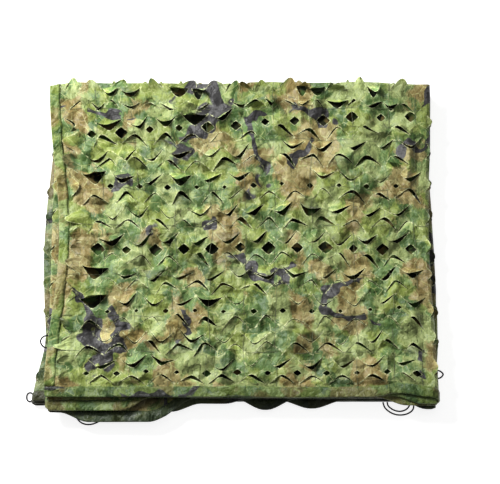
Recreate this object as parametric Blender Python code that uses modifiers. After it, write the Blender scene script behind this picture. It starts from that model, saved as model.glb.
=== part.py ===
"""A camouflage net, folded into a flat pack.

The net is one sheet of leaf-cut cloth with a bound edge and a few cord loops. It is doubled over
once, so that its two long hems lie together at the front, and then folded back and forth across
its length. Every shape is worked out on the flat cloth, where u runs along the net and v across
it, and place() carries it onto the folded pack.

Metres. +X is to the right, +Y to the back, where the doubled edge lies, and +Z is up.
"""

import math
import random
from collections import namedtuple

import bmesh
import bpy
from mathutils import Vector
from mathutils.geometry import delaunay_2d_cdt

# ------------------------------------------------------------------ driving sizes
CLOTH = 0.001  # thickness of the cloth
PLY_RISE = 0.002  # a ply lies this far above or below the middle of its run
RUN_PITCH = 0.008  # from the middle of one run to the middle of the next
RUN_LENGTH = 0.588  # flat length of one run
PLY_WIDTH = 0.495  # flat width of one ply, which is half of the net without the fold

BINDING = 0.0006  # thickness of the tape that binds the edge
BINDING_WIDTH = 0.015  # how far the tape reaches over the cloth
SEAM_GAP = 0.0003  # air between two pieces that lie on each other

CORD_DIAMETER = 0.0024  # of the fastening loops

PITCH = 0.0455  # from one column of leaf cuts to the next
PERIOD = 0.0983  # from one row of holes to the next

# ------------------------------------------------------------------ sizes worked out
TURN_RADIUS = RUN_PITCH / 2
TURN_LENGTH = math.pi * TURN_RADIUS
FOLD_LENGTH = math.pi * PLY_RISE
NET_WIDTH = 2 * PLY_WIDTH + FOLD_LENGTH

BINDING_RISE = CLOTH / 2 + SEAM_GAP + BINDING / 2  # from the cloth's middle to the tape's
BINDING_HALF = BINDING_RISE + BINDING / 2
HEM = BINDING_WIDTH + 0.001  # the strip of cloth that is kept plain under the tape
UNDERSIDE_SAG = BINDING_HALF - CLOTH / 2  # the lowest ply sinks by this to lie on the ground

# ------------------------------------------------------------------ the pack in plan
# The left and right sides of the runs, in order along the net: x at the front and at the back, how
# far the side bows to +X between them, and how far its front corner flares to +X.
Side = namedtuple("Side", "front back bow flare")
SIDES = (
    Side(-0.2966, -0.2915, 0.0190, 0.0000),  # the free end of the top run, on the left
    Side(0.2929, 0.2838, -0.0076, 0.0000),  # right turn under the top run
    Side(-0.2885, -0.2765, 0.0000, 0.0000),  # left turn under the second run
    Side(0.2975, 0.2747, 0.0015, -0.0100),  # right turn under the third run
    Side(-0.2884, -0.2747, -0.0128, -0.0213),  # left turn under the fourth run
    Side(0.2886, 0.2786, -0.0010, 0.0000),  # the free end of the bottom run, on the right
)
FLARE_DEPTH = 0.22  # the share of the pack's depth that a flare takes up
RUNS = len(SIDES) - 1
NET_LENGTH = RUNS * RUN_LENGTH + (RUNS - 1) * TURN_LENGTH

# Ply "A" lies above ply "B" in every other run, starting with the top one.
# The front hem of each ply, from the top of the pack down.
Hem = namedtuple("Hem", "run ply y")
HEMS = (
    Hem(0, "A", -0.2440),
    Hem(0, "B", -0.2415),
    Hem(1, "B", -0.2425),
    Hem(1, "A", -0.2400),
    Hem(2, "A", -0.2425),
    Hem(2, "B", -0.2400),
    Hem(3, "B", -0.2410),
    Hem(3, "A", -0.2430),
    Hem(4, "A", -0.2405),
    Hem(4, "B", -0.2425),
)
HEM_Y = {(hem.run, hem.ply): hem.y for hem in HEMS}

# Where a hem slips forward of the others: between which x, and by how much.
Tongue = namedtuple("Tongue", "run ply start end reach")
TONGUES = (
    Tongue(0, "A", -0.040, 0.030, -0.0030),
    Tongue(0, "A", 0.195, 0.285, -0.0060),
    Tongue(0, "A", 0.280, 0.360, 0.0060),
    Tongue(0, "B", 0.230, 0.360, 0.0120),
    Tongue(1, "B", -0.360, -0.135, 0.0205),
    Tongue(1, "B", 0.205, 0.360, 0.0125),
    Tongue(1, "A", -0.360, -0.135, 0.0190),
    Tongue(1, "A", 0.225, 0.360, 0.0130),
    Tongue(2, "A", -0.360, -0.070, 0.0215),
    Tongue(2, "A", -0.275, -0.095, 0.0150),
    Tongue(2, "A", 0.235, 0.360, 0.0165),
    Tongue(2, "B", -0.360, 0.020, 0.0095),
    Tongue(2, "B", -0.275, -0.060, 0.0125),
    Tongue(2, "B", 0.235, 0.360, 0.0100),
    Tongue(3, "B", -0.360, -0.256, 0.0035),
    Tongue(3, "B", -0.010, 0.084, 0.0170),
    Tongue(3, "B", 0.235, 0.360, 0.0080),
    Tongue(3, "A", -0.360, -0.256, 0.0045),
    Tongue(3, "A", 0.060, 0.154, 0.0120),
    Tongue(3, "A", 0.235, 0.360, 0.0090),
    Tongue(4, "A", -0.360, -0.256, 0.0060),
    Tongue(4, "A", -0.262, -0.120, 0.0150),
    Tongue(4, "B", -0.360, -0.240, 0.0015),
    Tongue(4, "B", -0.360, -0.256, 0.0045),
    Tongue(4, "B", -0.280, -0.110, 0.0200),
)
TONGUE_EDGE = 0.045  # a tongue rises over this length

# The doubled edge at the back, from the top run down.
BACK_Y = (0.2480, 0.2462, 0.2475, 0.2455, 0.2468)
BACK_WAVE = 0.0015
BACK_CORNER = 0.008  # the back left corner of the top run is pulled in by this

SWELL = 0.0022  # how far the top of the pack swells and sinks

# ------------------------------------------------------------------ the leaf cuts
# Each cut is a wide U. A "valley" leaf hangs from its back edge with its tip to the front, and a
# "peak" leaf stands on its front edge with its tip to the back. Places are shares of PERIOD in front
# of a row of holes, and columns are in pitches from the column of those holes.
CutRow = namedtuple("CutRow", "kind ends tip column")
CUT_ROWS = (
    CutRow("peak", 0.270, 0.115, 0.5),
    CutRow("valley", 0.320, 0.465, 0.0),
    CutRow("peak", 0.700, 0.545, 0.5),
    CutRow("valley", 0.750, 0.895, 0.0),
)
# The rows of holes, from the front: half a hole's width and half its depth.
HoleRow = namedtuple("HoleRow", "half_width half_depth")
HOLE_ROWS = (
    HoleRow(0.0060, 0.0045),
    HoleRow(0.0045, 0.0035),
    HoleRow(0.0105, 0.0090),
    HoleRow(0.0050, 0.0040),
    HoleRow(0.0085, 0.0075),
)
FIRST_HOLES = 0.0345  # v of the first row of holes
FIRST_COLUMN = 0.0165  # u of the first column in an even row of holes
CUT_HALF_WIDTH = 0.0160
TIP_HALF_WIDTH = 0.0055
LEFT_MARGIN = 0.037  # from the net's end to the first column, clear of the binding
RIGHT_MARGIN = 0.0205  # from the last column to the turn
STRAY = (0.0025, 0.0015)  # how far a cut strays from its place along u and v
LEAN_FROM = 0.33  # behind this v the rows slope back to the right, more and more
LEAN = 0.65
LIFT = (0.0015, 0.0085)  # least and greatest rise of a leaf's tip
OPENING = (0.0022, 0.0058)  # least and greatest width of a cut at its tip

# Where the cloth lies smooth and its cuts stay shut: centre and half size, in u and v.
Calm = namedtuple("Calm", "u v half_u half_v")
CALMS = (
    Calm(0.425, 0.135, 0.095, 0.052),
    Calm(0.300, 0.085, 0.060, 0.036),
    Calm(0.120, 0.110, 0.060, 0.026),
)

# The leaves along the doubled edge stand straight out, where the cloth turns down under them.
BACK_LEAF = 0.017  # from the two ends of such a cut to its tip
BACK_LEAF_PUSH = (0.004, 0.0125)
BACK_LEAF_LIFT = (0.002, 0.0070)

# ------------------------------------------------------------------ the mesh's stations
HEM_STATIONS = 16  # stations along each run at the hems, and all over the top run
RUN_STATIONS = 6  # stations along each lower run away from the hems
TURN_STEPS = 4
PLY_STATIONS = (0.095, 0.175, 0.255, 0.335, 0.415)  # v between a ply's hem and its fold

# ------------------------------------------------------------------ the fastening loops
# Each loop leaves the edge of the net and goes back into it. Its route's points were chosen by eye.
LOOP_ROUTES = {
    "loop_front_left": (
        (-0.2436, -0.2453, 0.0014),
        (-0.2425, -0.2520, 0.0014),
        (-0.2388, -0.2586, 0.0014),
        (-0.2326, -0.2645, 0.0014),
        (-0.2237, -0.2670, 0.0014),
        (-0.2135, -0.2655, 0.0014),
        (-0.2040, -0.2600, 0.0014),
        (-0.2016, -0.2523, 0.0014),
    ),
    "loop_front_right_outer": (
        (0.2234, -0.2325, 0.0014),
        (0.2268, -0.2414, 0.0014),
        (0.2361, -0.2490, 0.0014),
        (0.2475, -0.2522, 0.0014),
        (0.2600, -0.2504, 0.0014),
        (0.2688, -0.2436, 0.0014),
        (0.2704, -0.2322, 0.0014),
    ),
    "loop_front_right_inner": (
        (0.2299, -0.2323, 0.0014),
        (0.2316, -0.2382, 0.0014),
        (0.2389, -0.2441, 0.0014),
        (0.2485, -0.2466, 0.0014),
        (0.2575, -0.2442, 0.0014),
        (0.2630, -0.2385, 0.0014),
        (0.2644, -0.2322, 0.0014),
    ),
    "loop_left": (
        (-0.2831, -0.1363, 0.0340),
        (-0.2885, -0.1370, 0.0335),
        (-0.2925, -0.1397, 0.0332),
        (-0.2948, -0.1440, 0.0330),
        (-0.2940, -0.1490, 0.0330),
        (-0.2900, -0.1540, 0.0335),
        (-0.2848, -0.1558, 0.0341),
    ),
    "loop_right": (
        (0.2977, -0.1817, 0.0014),
        (0.3052, -0.1824, 0.0014),
        (0.3113, -0.1845, 0.0014),
        (0.3150, -0.1890, 0.0014),
        (0.3115, -0.1938, 0.0014),
        (0.3055, -0.1958, 0.0014),
        (0.2981, -0.1966, 0.0014),
    ),
    "loop_corner": (
        (-0.3069, -0.2276, 0.0014),
        (-0.3087, -0.2302, 0.0014),
        (-0.3114, -0.2314, 0.0014),
        (-0.3142, -0.2302, 0.0014),
        (-0.3159, -0.2275, 0.0014),
        (-0.3162, -0.2240, 0.0014),
        (-0.3155, -0.2205, 0.0014),
        (-0.3133, -0.2182, 0.0014),
        (-0.3104, -0.2176, 0.0014),
        (-0.3080, -0.2189, 0.0014),
        (-0.3066, -0.2212, 0.0014),
    ),
}
STEPS_PER_LEG = 2  # tube points from one route point to the next

NUDGE = 0.0001  # the small step that shows which way the cloth faces
PACK_CENTRE = Vector((-0.008402, -0.012275, 0.0))  # the middle of the tables' x and y

rng = random.Random(7)


# ------------------------------------------------------------------ the folded shape
def smooth(share):
    """0 to 1 with soft ends."""
    share = min(1.0, max(0.0, share))
    return share * share * (3 - 2 * share)


def blend(a, b, share):
    return a + (b - a) * share


def side_x(side, depth):
    """x of one of the pack's sides, at a depth from 0 at the front to 1 at the back."""
    straight = blend(side.front, side.back, depth)
    bowed = side.bow * math.sin(math.pi * depth) ** 2
    return straight + bowed + side.flare * smooth(1 - depth / FLARE_DEPTH)


def front_y(run, ply, x):
    """y of the front hem of one ply of one run."""
    y = HEM_Y[run, ply]
    for tongue in TONGUES:
        if (tongue.run, tongue.ply) == (run, ply):
            rise = smooth((x - tongue.start) / TONGUE_EDGE)
            fall = smooth((tongue.end - x) / TONGUE_EDGE)
            y -= tongue.reach * rise * fall
    return y


def back_y(run, x):
    """y of the doubled edge of one run."""
    wave = BACK_WAVE * math.sin(17 * x + 2.1 * run) + BACK_WAVE * math.sin(41 * x + run) / 2
    corner = BACK_CORNER * smooth(1 - (x + 0.30) / 0.05) if run == 0 else 0.0
    return BACK_Y[run] + wave - corner


def run_height(run):
    """Height of the middle of a run."""
    lowest = BINDING_HALF + PLY_RISE
    return lowest + RUN_PITCH * (RUNS - 1 - run)


def swell(x, y, z):
    """Rise of the pack's soft top, fading to nothing at the lowest ply."""
    lowest = BINDING_HALF
    top = run_height(0) + PLY_RISE
    wave = math.sin(9.5 * x + 0.8) * math.cos(7.0 * y - 0.4) + 0.5 * math.sin(21 * x - 13 * y)
    return SWELL * wave * max(0.0, (z - lowest) / (top - lowest))


def locate(u):
    """Which run a length u along the net lies in, the share of that run, and the angle of the turn
    after it, which is 0 on the run itself."""
    run = min(RUNS - 1, int(u / (RUN_LENGTH + TURN_LENGTH)))
    rest = u - run * (RUN_LENGTH + TURN_LENGTH)
    turned = max(0.0, rest - RUN_LENGTH) if run < RUNS - 1 else 0.0
    return run, min(1.0, rest / RUN_LENGTH), turned / TURN_RADIUS


def section(v):
    """Across the doubled net at v: the depth from 0 to 1, how far behind the doubled edge and how
    far above the run's middle the cloth lies, and the ply."""
    around = (v - PLY_WIDTH) / PLY_RISE
    if around <= 0:
        return v / PLY_WIDTH, 0.0, PLY_RISE, "A"
    if around >= math.pi:
        return (NET_WIDTH - v) / PLY_WIDTH, 0.0, -PLY_RISE, "B"
    ply = "A" if around < math.pi / 2 else "B"
    return 1.0, PLY_RISE * math.sin(around), PLY_RISE * math.cos(around), ply


def underside_sag(u, v):
    """How far the lowest ply sinks to the ground, away from its hem and its folds."""
    from_ends = min(u - (RUNS - 1) * (RUN_LENGTH + TURN_LENGTH), NET_LENGTH - u)
    from_hems = min(NET_WIDTH - v, v - PLY_WIDTH - FOLD_LENGTH)
    return UNDERSIDE_SAG * smooth((min(from_ends, from_hems) - HEM) / 0.03)


def middle(u, v):
    """The point of the folded pack in the middle of the cloth's thickness, for the flat point u, v."""
    run, share, angle = locate(u)
    depth, behind, rise, ply = section(v)
    to_right = run % 2 == 0
    here = side_x(SIDES[run], depth)
    there = side_x(SIDES[run + 1], depth)
    turned = TURN_RADIUS * math.sin(angle)
    x = blend(here, there, share) + (turned if to_right else -turned)
    z = run_height(run) - TURN_RADIUS * (1 - math.cos(angle))
    front = front_y(run, ply, x)
    back = back_y(run, x)
    if angle > 0:
        front = blend(front, front_y(run + 1, ply, x), angle / math.pi)
        back = blend(back, back_y(run + 1, x), angle / math.pi)
    y = blend(front, back, depth) + behind
    x += math.sin(angle) * rise
    z += (math.cos(angle) if to_right else -math.cos(angle)) * rise
    z += swell(x, y, z) - underside_sag(u, v)
    return Vector((x, y, z)) - PACK_CENTRE


def place(u, v, out=0.0):
    """The point of the folded pack that stands out from the cloth's face, above the flat point
    u, v."""
    along = middle(min(u + NUDGE, NET_LENGTH), v) - middle(max(u - NUDGE, 0.0), v)
    across = middle(u, min(v + NUDGE, NET_WIDTH)) - middle(u, max(v - NUDGE, 0.0))
    return middle(u, v) + along.cross(across).normalized() * out


# ------------------------------------------------------------------ the flat cloth
def u_stations(run, at_hem):
    """Stations along one run and through the turn after it."""
    start = run * (RUN_LENGTH + TURN_LENGTH)
    count = HEM_STATIONS if run == 0 or at_hem else RUN_STATIONS
    along = [start + RUN_LENGTH * i / count for i in range(count + 1)]
    if run == 0:
        along[1:1] = [HEM]
    if run == RUNS - 1:
        return along[:-1] + [NET_LENGTH - HEM, NET_LENGTH]
    through = [along[-1] + TURN_LENGTH * i / TURN_STEPS for i in range(1, TURN_STEPS)]
    return along + through


def all_u_stations(at_hem=False):
    return [u for run in range(RUNS) for u in u_stations(run, at_hem)]


def all_v_stations():
    upper = [0.0, HEM, *PLY_STATIONS, PLY_WIDTH]
    fold = [PLY_WIDTH + FOLD_LENGTH * i / TURN_STEPS for i in range(1, TURN_STEPS)]
    return upper + fold + [NET_WIDTH - v for v in reversed(upper)]


def is_calm(u, v):
    return any(
        ((u - calm.u) / calm.half_u) ** 2 + ((v - calm.v) / calm.half_v) ** 2 < 1
        for calm in CALMS
    )


def columns(shift):
    """u of the cuts in a row whose columns are shifted by this many pitches."""
    first = FIRST_COLUMN + (shift % 1.0) * PITCH
    every = [first + i * PITCH for i in range(int(RUN_LENGTH / PITCH) + 1)]
    return [u for u in every if LEFT_MARGIN < u < RUN_LENGTH - RIGHT_MARGIN]


def lean(u, v):
    return LEAN * (u - RUN_LENGTH / 2) * max(0.0, v - LEAN_FROM)


def u_cut(u, ends_v, tip_v, opening, lift, push=0.0):
    """A U cut as corners (u, v, lift, push): its two ends and the cloth's edge, then the leaf's tip."""
    forward = math.copysign(1.0, tip_v - ends_v)
    leaf_v = tip_v - forward * opening
    return [
        (u - CUT_HALF_WIDTH, ends_v, 0.0, 0.0),
        (u - TIP_HALF_WIDTH, tip_v, 0.0, 0.0),
        (u + TIP_HALF_WIDTH, tip_v, 0.0, 0.0),
        (u + CUT_HALF_WIDTH, ends_v, 0.0, 0.0),
        (u + TIP_HALF_WIDTH, leaf_v, lift, push),
        (u - TIP_HALF_WIDTH, leaf_v, lift, push),
    ]


def hole(u, v, row):
    return [
        (u - row.half_width, v, 0.0, 0.0),
        (u, v - row.half_depth, 0.0, 0.0),
        (u + row.half_width, v, 0.0, 0.0),
        (u, v + row.half_depth, 0.0, 0.0),
    ]


def anticlockwise(corners):
    following = corners[1:] + corners[:1]
    doubled_area = sum(a[0] * b[1] - b[0] * a[1] for a, b in zip(corners, following))
    return corners if doubled_area > 0 else corners[::-1]


def leaf_rows():
    """The U cuts of the top ply, row by row from the front."""
    cuts = []
    highest = PLY_WIDTH - BACK_LEAF - 0.018
    for index in range(1, len(HOLE_ROWS) + 1):
        holes_v = FIRST_HOLES + index * PERIOD
        for row in CUT_ROWS:
            for u in columns(row.column + index / 2):
                opening = rng.uniform(*OPENING)
                lift = rng.uniform(*LIFT)
                stray = rng.uniform(-STRAY[0], STRAY[0])
                ends_v = holes_v - row.ends * PERIOD + rng.uniform(-STRAY[1], STRAY[1])
                ends_v += lean(u, ends_v)
                tip_v = ends_v + (row.ends - row.tip) * PERIOD
                fits = min(ends_v, tip_v) > HEM + 0.003 and max(ends_v, tip_v) < highest
                if fits and not is_calm(u, ends_v):
                    cuts.append(u_cut(u + stray, ends_v, tip_v, opening, lift))
    return cuts


def hole_rows():
    holes = []
    for index, row in enumerate(HOLE_ROWS):
        v = FIRST_HOLES + index * PERIOD
        holes += [hole(u, v + lean(u, v), row) for u in columns(index / 2)]
    return holes


def back_leaves():
    """The leaves along the doubled edge."""
    tip_v = PLY_WIDTH - 0.0015
    return [
        u_cut(
            u,
            tip_v - BACK_LEAF,
            tip_v,
            OPENING[0],
            rng.uniform(*BACK_LEAF_LIFT),
            rng.uniform(*BACK_LEAF_PUSH),
        )
        for u in columns(0.5)
    ]


def cloth_lines():
    """The lines that the flat cloth bends along, each as a list of points."""
    us = all_u_stations()
    vs = all_v_stations()
    bends_u = {0.0, HEM, NET_LENGTH - HEM, NET_LENGTH}
    for run in range(RUNS - 1):
        start = run * (RUN_LENGTH + TURN_LENGTH) + RUN_LENGTH
        bends_u |= {u for u in us if start - 1e-9 <= u <= start + TURN_LENGTH + 1e-9}
    bends_v = {v for v in vs if not any(abs(min(v, NET_WIDTH - v) - s) < 1e-9 for s in PLY_STATIONS)}
    lines = [[(u, v) for v in vs] for u in sorted(bends_u)]
    for v in sorted(bends_v):
        at_hem = min(v, NET_WIDTH - v) < HEM + 1e-9
        lines.append([(u, v) for u in all_u_stations(at_hem)])
    return lines


def coarse_points():
    """Stations between the bends, apart from the top ply's, which has the corners of its cuts."""
    first_fold = PLY_WIDTH
    return [
        (u, v)
        for u in all_u_stations()
        for v in all_v_stations()
        if (u > RUN_LENGTH or v > first_fold) and HEM < v < NET_WIDTH - HEM
    ]


def triangulate_cloth():
    """The flat cloth as points (u, v, lift, push) and triangles, with its cuts left open."""
    points, edges, faces = [], [], []
    for line in cloth_lines():
        start = len(points)
        points += [(u, v, 0.0, 0.0) for u, v in line]
        edges += [(i, i + 1) for i in range(start, len(points) - 1)]
    points += [(u, v, 0.0, 0.0) for u, v in coarse_points()]
    cuts = leaf_rows() + hole_rows() + back_leaves()
    print(len(cuts), "gaps are cut through the top ply")
    for corners in cuts:
        faces.append(list(range(len(points), len(points) + len(corners))))
        points += anticlockwise(corners)
    flat = [Vector(point[:2]) for point in points]
    made, _, triangles, sources, _, inside = delaunay_2d_cdt(flat, edges, faces, 0, 1e-6)
    raised = [max((points[i] for i in source), key=lambda p: p[2]) for source in sources]
    kept = [triangle for triangle, within in zip(triangles, inside) if not within]
    return [(co.x, co.y, source[2], source[3]) for co, source in zip(made, raised)], kept


def add_object(name, mesh, material, collection):
    mesh.materials.append(material)
    obj = bpy.data.objects.new(name, mesh)
    collection.objects.link(obj)
    return obj


def thicken(obj, thickness):
    """Gives an open surface its thickness, half to each side."""
    solid = obj.modifiers.new("thickness", "SOLIDIFY")
    solid.thickness = thickness
    solid.offset = 0.0


def make_cloth(material, collection):
    points, triangles = triangulate_cloth()
    bm = bmesh.new()
    for u, v, lift, push in points:
        bm.verts.new(place(u, v, lift) + Vector((0, push, 0)))
    bm.verts.ensure_lookup_table()
    for triangle in triangles:
        bm.faces.new([bm.verts[i] for i in triangle])
    mesh = bpy.data.meshes.new("net_cloth")
    bm.to_mesh(mesh)
    bm.free()
    thicken(add_object("net_cloth", mesh, material, collection), CLOTH)


# ------------------------------------------------------------------ the binding
# The tape's section as it wraps the edge: distance into the cloth, and rise as a share of
# BINDING_RISE.
TAPE_SECTION = (
    (BINDING_WIDTH, 1.0),
    (0.0, 1.0),
    (-BINDING_RISE, 0.0),
    (0.0, -1.0),
    (BINDING_WIDTH, -1.0),
)


def wrap_tape(name, stations, point_at, material, collection):
    """A tape along the stations, where point_at(station, inset, rise) is a point of its surface."""
    bm = bmesh.new()
    across = len(TAPE_SECTION) - 1
    bmesh.ops.create_grid(bm, x_segments=len(stations) - 1, y_segments=across, size=1.0)
    for vert in bm.verts:
        i = round((vert.co.x + 1) / 2 * (len(stations) - 1))
        inset, rise = TAPE_SECTION[round((vert.co.y + 1) / 2 * across)]
        vert.co = point_at(stations[i], inset, rise * BINDING_RISE)
    mesh = bpy.data.meshes.new(name)
    bm.to_mesh(mesh)
    bm.free()
    thicken(add_object(name, mesh, material, collection), BINDING)


def front_tape(edge_v, inwards):
    """Point function for the tape along a long hem at edge_v, which faces inwards to +v or -v."""

    def point_at(u, inset, rise):
        point = place(u, edge_v + inwards * max(0.0, inset), rise)
        return point - Vector((0, max(0.0, -inset), 0))

    return point_at


def end_tape(edge_u, inwards):
    """Point function for the tape along a short end at edge_u, which faces inwards to +u or -u."""

    def point_at(v, inset, rise):
        point = place(edge_u + inwards * max(0.0, inset), v, rise)
        return point - Vector((inwards * max(0.0, -inset), 0, 0))

    return point_at


def make_bindings(material, collection):
    us = all_u_stations(at_hem=True)
    clear = HEM + SEAM_GAP
    vs = [v for v in all_v_stations() if clear < v < NET_WIDTH - clear]
    vs = [clear, *vs, NET_WIDTH - clear]
    wrap_tape("binding_hem_upper", us, front_tape(0.0, 1), material, collection)
    wrap_tape("binding_hem_lower", us, front_tape(NET_WIDTH, -1), material, collection)
    wrap_tape("binding_end_top", vs, end_tape(0.0, 1), material, collection)
    wrap_tape("binding_end_bottom", vs, end_tape(NET_LENGTH, -1), material, collection)


# ------------------------------------------------------------------ the fastening loops
def smooth_line(route):
    """Points on the Catmull-Rom curve through a route."""
    points = [Vector(point) for point in route]
    points = [points[0] * 2 - points[1], *points, points[-1] * 2 - points[-2]]
    line = []
    for a, b, c, d in zip(points, points[1:], points[2:], points[3:]):
        for i in range(STEPS_PER_LEG):
            s = i / STEPS_PER_LEG
            bend = (2 * a - 5 * b + 4 * c - d) * s + (3 * b - a - 3 * c + d) * s * s
            line.append(b + (c - a + bend) * s / 2)
    return [*line, points[-2]]


def make_cord(name, line, material, collection):
    curve = bpy.data.curves.new(name, "CURVE")
    curve.dimensions = "3D"
    curve.bevel_depth = CORD_DIAMETER / 2
    curve.bevel_resolution = 2
    curve.use_fill_caps = True
    spline = curve.splines.new("POLY")
    spline.points.add(len(line) - 1)
    for point, co in zip(spline.points, line):
        point.co = (*co, 1.0)
    add_object(name, curve, material, collection)


def make_loops(material, collection):
    for name, route in LOOP_ROUTES.items():
        make_cord(name, smooth_line(route), material, collection)


# ------------------------------------------------------------------ the scene
def finish(name, colour, roughness):
    material = bpy.data.materials.new(name)
    material.use_nodes = True
    shader = material.node_tree.nodes["Principled BSDF"]
    shader.inputs["Base Color"].default_value = (*colour, 1.0)
    shader.inputs["Roughness"].default_value = roughness
    shader.inputs["Metallic"].default_value = 0.0
    return material


def main():
    for obj in list(bpy.data.objects):
        bpy.data.objects.remove(obj)
    collection = bpy.data.collections.new("camouflage_net")
    bpy.context.scene.collection.children.link(collection)
    make_cloth(finish("leaf cloth", (0.27, 0.36, 0.14), 0.85), collection)
    make_bindings(finish("binding tape", (0.07, 0.17, 0.05), 0.8), collection)
    make_loops(finish("black cord", (0.012, 0.012, 0.012), 0.6), collection)


main()
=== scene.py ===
# %% [markdown]
# # A camouflage net, folded into a pack
#
# The real object is one sheet of thin printed cloth, 1 m by 3 m. Rows of U-shaped cuts turn it into
# leaves, a thin cord mesh lies over it, a strip of the same cloth binds its edge, and short black
# cord loops are sewn to that edge for tying it up. Here it is doubled over once and folded back and
# forth in five runs, so that it lies as a flat pack.
#
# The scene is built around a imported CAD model. Its solids say where each piece lies, and every
# piece made below takes the place of one of them.

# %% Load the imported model
import math
import random
from collections import namedtuple

import bpy
import numpy as np
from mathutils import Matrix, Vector, noise
from mathutils.geometry import delaunay_2d_cdt


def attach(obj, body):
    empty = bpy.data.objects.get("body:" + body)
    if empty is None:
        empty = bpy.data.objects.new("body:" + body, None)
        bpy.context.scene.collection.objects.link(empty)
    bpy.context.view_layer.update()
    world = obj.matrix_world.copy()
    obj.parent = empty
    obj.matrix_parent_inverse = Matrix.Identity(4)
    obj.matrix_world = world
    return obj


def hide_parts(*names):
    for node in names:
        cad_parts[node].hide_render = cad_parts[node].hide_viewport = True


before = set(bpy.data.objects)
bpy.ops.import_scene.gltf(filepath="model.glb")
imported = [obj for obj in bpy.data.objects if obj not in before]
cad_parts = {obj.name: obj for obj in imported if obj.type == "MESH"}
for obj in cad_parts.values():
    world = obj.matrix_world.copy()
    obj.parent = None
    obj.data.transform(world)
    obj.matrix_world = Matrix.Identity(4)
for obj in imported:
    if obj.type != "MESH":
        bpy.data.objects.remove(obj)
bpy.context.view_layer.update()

print("nodes:", sorted(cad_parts))

# %% [markdown]
# ## The camera
#
# The photo was taken from high above the front edge, and its sides hardly converge. A long lens far
# away gives that. One could also set the camera to orthographic, but a long lens keeps a trace of
# the real depth. The lens follows from how wide a strip of the floor the picture shows.

# %% Place the camera
SENSOR = 36.0  # mm
VIEW_CENTRE = Vector((0.0221, 0.0093, 0.0372))
VIEW_WIDTH = 0.760
VIEW_HEIGHT = math.radians(75)
CAMERA_DISTANCE = 8.0

camera_data = bpy.data.cameras.new("camera")
camera_data.sensor_width = SENSOR
camera_data.lens = SENSOR * CAMERA_DISTANCE / VIEW_WIDTH
camera_data.clip_end = 50.0
camera = bpy.data.objects.new("camera", camera_data)
towards_camera = Vector((0.0, -math.cos(VIEW_HEIGHT), math.sin(VIEW_HEIGHT)))
camera.location = VIEW_CENTRE + towards_camera * CAMERA_DISTANCE
camera.rotation_euler = (math.pi / 2 - VIEW_HEIGHT, 0.0, 0.0)
bpy.context.scene.collection.objects.link(camera)
bpy.context.scene.camera = camera
print("lens:", round(camera_data.lens), "mm")

# %% [markdown]
# ## Helpers for materials
#
# A material in Blender is a tree of nodes. Adding a node, setting its numbers and joining its
# sockets is always the same few lines, so they go into one function. A socket given as an input is
# linked, and anything else is set as a plain value. The others stand for the nodes used most.


# %% Add shader nodes
def add_node(tree, kind, inputs=None, **settings):
    node = tree.nodes.new("ShaderNode" + kind)
    for name, value in settings.items():
        setattr(node, name, value)
    for name, value in (inputs or {}).items():
        if isinstance(value, bpy.types.NodeSocket):
            tree.links.new(value, node.inputs[name])
        else:
            node.inputs[name].default_value = value
    return node


def new_material(name):
    """A material with its node tree and its main shader."""
    material = bpy.data.materials.new(name)
    material.use_nodes = True
    return material, material.node_tree, material.node_tree.nodes["Principled BSDF"]


def calculate(tree, operation, *values):
    return add_node(tree, "Math", dict(enumerate(values)), operation=operation).outputs[0]


def calculate_vector(tree, operation, *values, **named):
    inputs = {**dict(enumerate(values)), **named}
    return add_node(tree, "VectorMath", inputs, operation=operation).outputs[0]


def over(tree, share, under, colour, blend_type="MIX"):
    """A colour laid over another one."""
    under, colour = ((*c, 1.0) if isinstance(c, tuple) else c for c in (under, colour))
    inputs = {0: share, 6: under, 7: colour}
    return add_node(tree, "Mix", inputs, data_type="RGBA", blend_type=blend_type).outputs[2]


def level(tree, value, start, end, low=0.0, high=1.0):
    """value stretched so that start becomes low and end becomes high."""
    inputs = {"Value": value, "From Min": start, "From Max": end, "To Min": low, "To Max": high}
    return add_node(tree, "MapRange", inputs, interpolation_type="SMOOTHSTEP").outputs[0]


def print_noise(tree, place, scale, seed, detail=2.0, roughness=0.5):
    inputs = {"Vector": place, "W": seed, "Scale": scale, "Detail": detail, "Roughness": roughness}
    return add_node(tree, "TexNoise", inputs, noise_dimensions="4D").outputs["Fac"]


def flat_place(tree):
    """The place on the flat cloth, in metres."""
    return add_node(tree, "UVMap", uv_map="flat").outputs[0]


def add_object(name, data):
    obj = bpy.data.objects.new(name, data)
    bpy.context.scene.collection.objects.link(obj)
    return obj


# %% [markdown]
# ## The fastening loops
#
# The loops are thin black braided cord. Each leaves the edge of the net, swings out over the floor
# and goes back in. A curve with a round bevel is the plainest way to make a cord: it keeps its
# thickness wherever it bends. The routes are short lists of points, and a Catmull-Rom spline runs
# smoothly through every one of them.

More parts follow.
